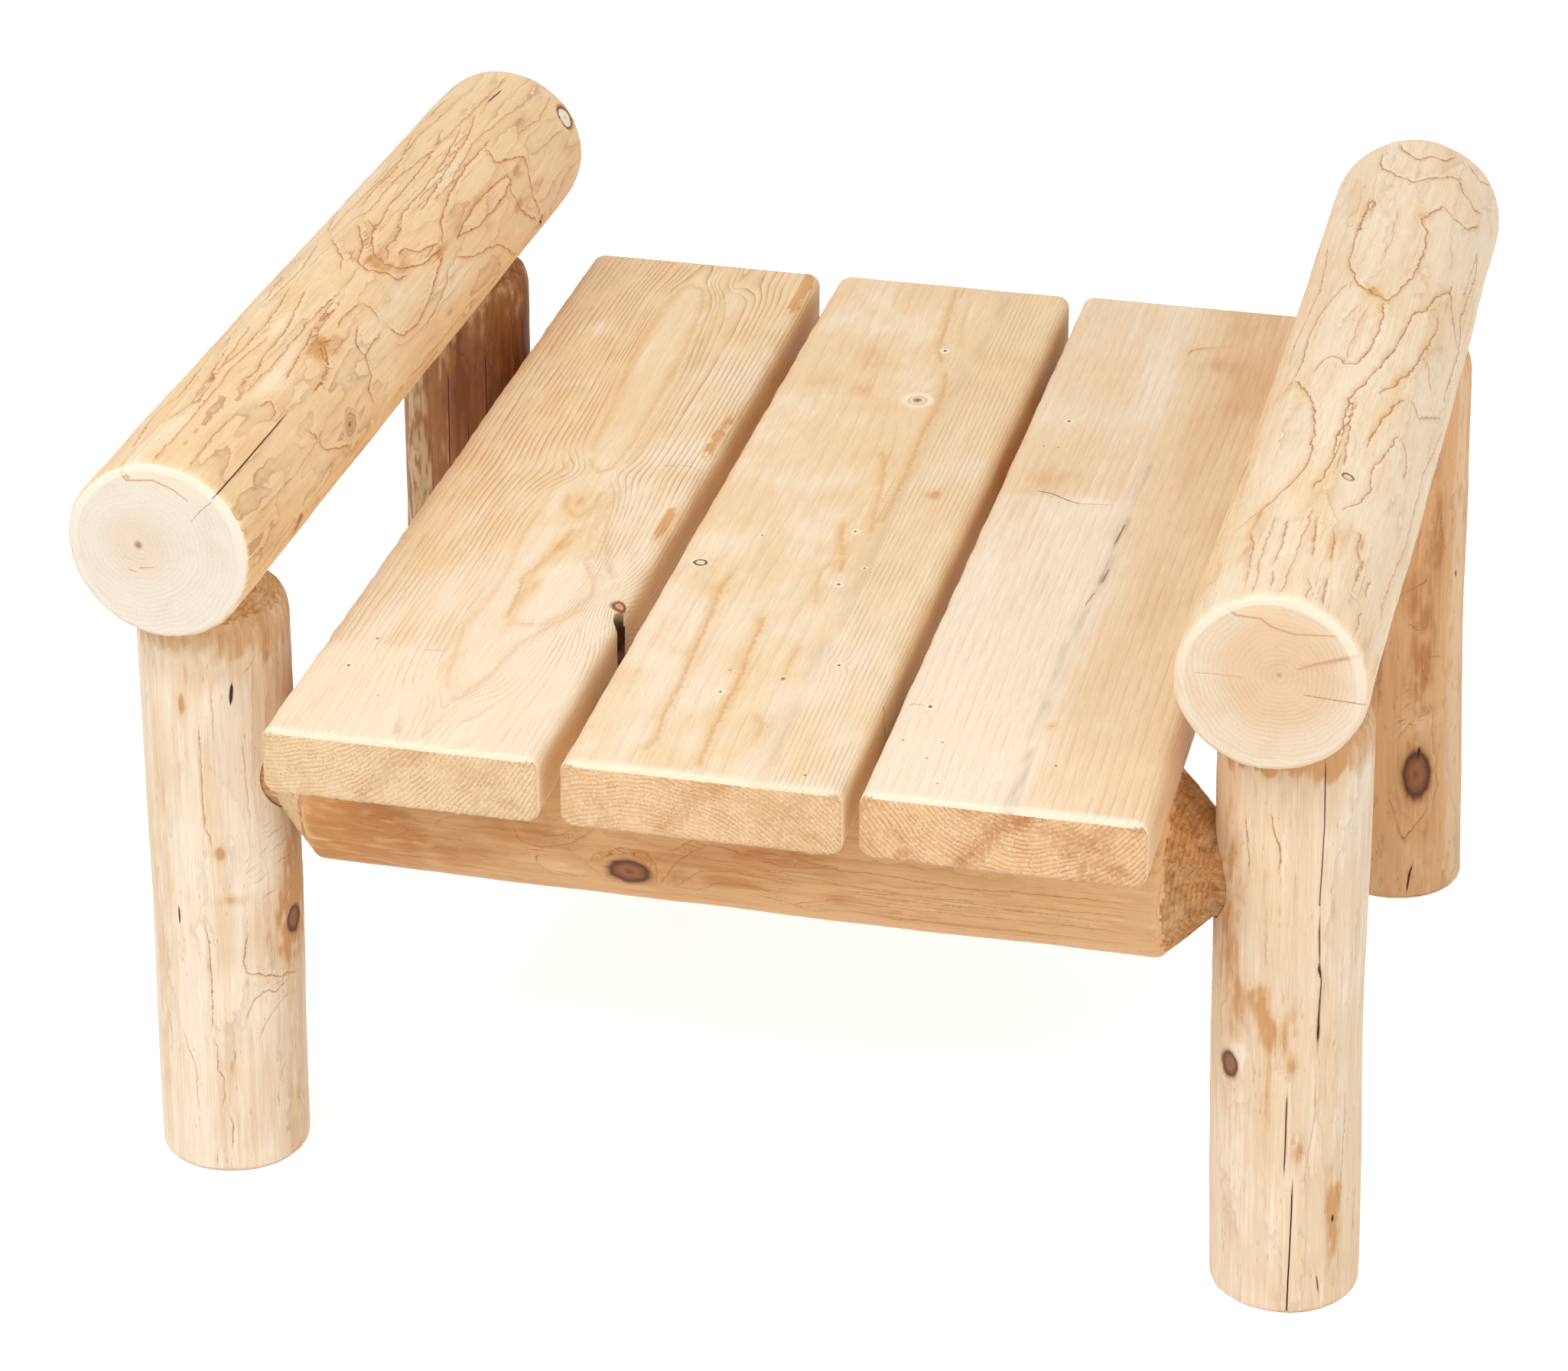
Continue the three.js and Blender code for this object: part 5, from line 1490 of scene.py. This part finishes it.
RAIL_END = end_wood("rail_end_wood", (228, 184, 134), (180, 122, 74), (210, 160, 110), (3, -4), 2.4, 20)
LEFT_PLANK_END = end_wood("left_plank_end_wood", (239, 208, 168), (196, 142, 90), (228, 190, 146),
                          (-66, 74), 2.3, 10, (0, 2), pores=0.35, rings=0.8, mottle=0.5)
MIDDLE_PLANK_END = end_wood("middle_plank_end_wood", (239, 202, 157), (194, 138, 84), (226, 180, 130),
                            (-30, -95), 2.2, 10, (0, 2), pores=0.35, rings=0.85, mottle=0.6)
RIGHT_PLANK_END = end_wood("right_plank_end_wood", (240, 200, 154), (188, 124, 68), (214, 164, 112),
                           (10, 48), 2.4, 20, (0, 2), pores=0.3, rings=0.95, mottle=0.95)
STEEL = steel()

# What the logs and planks are made with: looks, materials and the colours of their sides
POSTS = dict(zip(CORNERS, ((FRONT_LEFT, POST_SIDE, POST_CUT), (FRONT_RIGHT, POST_SIDE, POST_CUT),
                           (REAR_LEFT, REAR_LEFT_SHADED_SIDE, REAR_LEFT_SHADED_CUT),
                           (REAR_RIGHT, REAR_RIGHT_SHADED_SIDE, POST_CUT))))
ARM_LOGS = {
    "left": (LEFT_ARM, LEFT_END, ((249, 213, 165), (255, 236, 204), (222, 164, 104), (156, 92, 42))),
    "right": (RIGHT_ARM, RIGHT_END, ((246, 214, 172), (252, 231, 200), (222, 164, 104), (158, 98, 48)))}
PLANKS = {
    "left": (FIRST, LEFT_PLANK_END, ((246, 215, 171), (253, 234, 206), (226, 172, 112), (198, 134, 72))),
    "middle": (SECOND, MIDDLE_PLANK_END, ((246, 215, 173), (252, 232, 203), (226, 172, 114), (192, 134, 78))),
    "right": (THIRD, RIGHT_PLANK_END, ((244, 215, 177), (252, 234, 209), (226, 180, 128), (196, 144, 92)))}
POST_BOW, ARM_BOW, RAIL_BOW = -1.5, 1.2, -1.0
FLAT_MARGIN, FLAT_REACH, FLAT_CLEARANCE = 6.0, 70.0, 30.0
FLOOR_REACH, FLOOR_DEPTH = 500.0, 40.0


# Making

def make_posts(sockets, holes):
    floor = box_solid("below", (-FLOOR_REACH, -FLOOR_REACH, -FLOOR_DEPTH), (FLOOR_REACH, FLOOR_REACH, 0))
    for corner, (look, side_material, cut_material) in POSTS.items():
        row, side = corner
        post = Log(f"{row}_{side}_post", "post_wood", post_shape(corner), CROSSWISE,
                   POST_BOW * SIDES[side], look).build()
        own = [holes[f"{row}_{side}_{kind}_screw"] for kind in ("arm", "rail")]
        cut(post.obj, [floor, sockets[row], *own])
        post.finish([POST_END, side_material, cut_material])
    remove([floor])


def make_arms(sockets, holes):
    for side, (look, end, tones) in ARM_LOGS.items():
        r0, r1 = ARMS[side][:2]
        arm = Log(f"{side}_arm_log", "arm_wood", (*arm_points(side), (sawn_end(r0), sawn_end(r1))),
                  CROSSWISE, ARM_BOW * SIDES[side], look).build()
        own = [holes[f"{row}_{side}_arm_screw"] for row in ROWS]
        cut(arm.obj, [sockets[row, side] for row in ROWS] + own)
        wood = side_wood(f"{side}_arm_log_wood", *tones, jag=0.14, stripe=0.09, halo=(212, 146, 82),
                         spots=arm.spots())
        arm.finish([end, wood, ARM_CUT])


def make_rails(holes):
    for row, look in (("front", FRONT_RAIL), ("rear", REAR_RAIL)):
        rail = Log(f"{row}_rail", "rail_wood", rail_shape(row), LENGTHWISE, RAIL_BOW, look).build()
        y, half = ROWS[row] * POST_Y, PLANK_WIDTH / 2 + FLAT_MARGIN
        flat = box_solid("flat", (PLANK_X[0] - half, y - FLAT_REACH, SEAT_UNDER - REST_GAP),
                         (PLANK_X[-1] + half, y + FLAT_REACH, SEAT_UNDER + FLAT_CLEARANCE))
        own = [hole for name, hole in holes.items() if name.startswith(row) and "arm_screw" not in name]
        cut(rail.obj, [flat, *own])
        rail.finish([RAIL_END, RAIL_SIDE, RAIL_CUT], flats=True)
        remove([flat])


def make_planks(holes):
    gap = gap_cutter()
    for index, (name, (look, end, tones)) in enumerate(PLANKS.items()):
        plank = Plank(index, f"{name}_seat_plank", look).build()
        own = [hole for label, hole in holes.items() if f"_{name}_plank_" in label]
        cut(plank.obj, own + [gap] * (index == 0))
        wood = side_wood(f"{name}_plank_wood", *tones, along=1, jag=0.1, stripe=0.08, relief=0.00025,
                         edges=SOFT, halo=(223, 170, 104), spots=plank.spots())
        plank.finish([end, wood, PLANK_CUT, PLANK_HOLE_SHADE])
    remove([gap])


sockets = {corner: socket_cutter(post_shape(corner, FIT), CROSSWISE) for corner in CORNERS}
sockets |= {row: socket_cutter(rail_shape(row, FIT), LENGTHWISE) for row in ROWS}
screws = screw_places()
holes = {}
for name, spec, start, direction in screws:
    room = (PLANK_SCREW_FIT, PLANK_SCREW_MOUTH) if spec is PLANK_SCREW else (FIT, LOCK_MOUTH)
    holes[name] = hole_cutter(spec, start, direction, *room)
make_posts(sockets, holes)
make_arms(sockets, holes)
make_rails(holes)
make_planks(holes)
remove([*sockets.values(), *holes.values()])
for screw in screws:
    make_screw(*screw, STEEL)


# Stage, light and camera

# The floor's colour, its own glow to the camera, and how strong the light from all round is
FLOOR_GREY, FLOOR_GLOW, SKY = (0.86, 0.86, 0.86, 1), 0.62, 0.62
# In metres: half the floor's width, and how far below the feet it lies
FLOOR_SIZE, FLOOR_DROP = 12.0, 0.0004
# Each lamp: its name, its place and the point that it faces, its size, all in metres, and its power
LAMPS = (("key", (-0.9, -2.15, 2.75), (0, 0, 0.3), 1.8, 53.8),
         ("fill", (2.2, -1.6, 1.5), (0, 0, 0.25), 1.6, 16))
# The camera's angles, its place in mm, its focal length and frame in pixels of the photograph, its
# sensor in mm, and how far it sees in metres
YAW, PITCH, ROLL = (math.radians(angle) for angle in (12.824, -27.280, 0.336))
CAMERA_PLACE = (495.52, -2299.53, 1408.92)
FOCAL_PIXELS, FRAME_PIXELS, SENSOR, VIEW_REACH = 6270.6, 2050, 36.0, 50


def seen_rays(n):
    """1 for the rays of the camera and those that gloss and glass send on."""
    rays = n.new("LightPath").outputs
    seen = n.math("MAXIMUM", rays["Is Camera Ray"], rays["Is Glossy Ray"])
    return n.math("MAXIMUM", seen, rays["Is Transmission Ray"])


def make_floor():
    n = Nodes(bpy.data.materials.new("floor"))
    diffuse = n.new("BsdfDiffuse", Color=FLOOR_GREY)
    glow = n.new("Emission", Color=(1, 1, 1, 1), Strength=n.times(seen_rays(n), FLOOR_GLOW))
    both = n.new("AddShader")
    n.link(diffuse.outputs[0], both.inputs[0])
    n.link(glow.outputs[0], both.inputs[1])
    n.link(both.outputs[0], n.output.inputs["Surface"])
    s = FLOOR_SIZE
    mesh = bpy.data.meshes.new("floor")
    mesh.from_pydata([(-s, -s, 0), (s, -s, 0), (s, s, 0), (-s, s, 0)], [], [(0, 1, 2, 3)])
    mesh.materials.append(n.owner)
    floor = add_object("floor", mesh, Matrix.Translation((0, 0, -FLOOR_DROP)))


def make_world():
    world = bpy.data.worlds.new("studio")
    n = Nodes(world, "OutputWorld")
    plain = n.new("Background", Color=(1.0, 0.985, 0.96, 1), Strength=SKY)
    white = n.new("Background", Color=(1, 1, 1, 1), Strength=1.0)
    mix = n.new("MixShader", Fac=seen_rays(n))
    n.link(plain.outputs[0], mix.inputs[1])
    n.link(white.outputs[0], mix.inputs[2])
    n.link(mix.outputs[0], n.output.inputs["Surface"])
    bpy.context.scene.world = world


def make_lamp(name, place, target, size, power):
    lamp = bpy.data.lights.new(name, "AREA")
    lamp.shape, lamp.size, lamp.energy = "SQUARE", size, power
    turn = (Vector(target) - Vector(place)).to_track_quat("-Z", "Y")
    add_object(name, lamp, Matrix.LocRotScale(Vector(place), turn, None))


def make_camera():
    forward = Vector((-math.sin(YAW) * math.cos(PITCH), math.cos(YAW) * math.cos(PITCH), math.sin(PITCH)))
    right = forward.cross(UPWARDS).normalized()
    top = right.cross(forward)
    matrix = Matrix((right, top, -forward)).transposed() @ Matrix.Rotation(ROLL, 3, "Z")
    camera = bpy.data.cameras.new("camera")
    camera.sensor_width = SENSOR
    camera.lens = FOCAL_PIXELS / FRAME_PIXELS * SENSOR
    camera.clip_end = VIEW_REACH
    matrix = matrix.to_4x4()
    matrix.translation = Vector(CAMERA_PLACE) * MM + SHIFT
    bpy.context.scene.camera = add_object("camera", camera, matrix)


make_floor()
make_world()
for lamp in LAMPS:
    make_lamp(*lamp)
make_camera()
bpy.context.scene.view_settings.view_transform = "Standard"
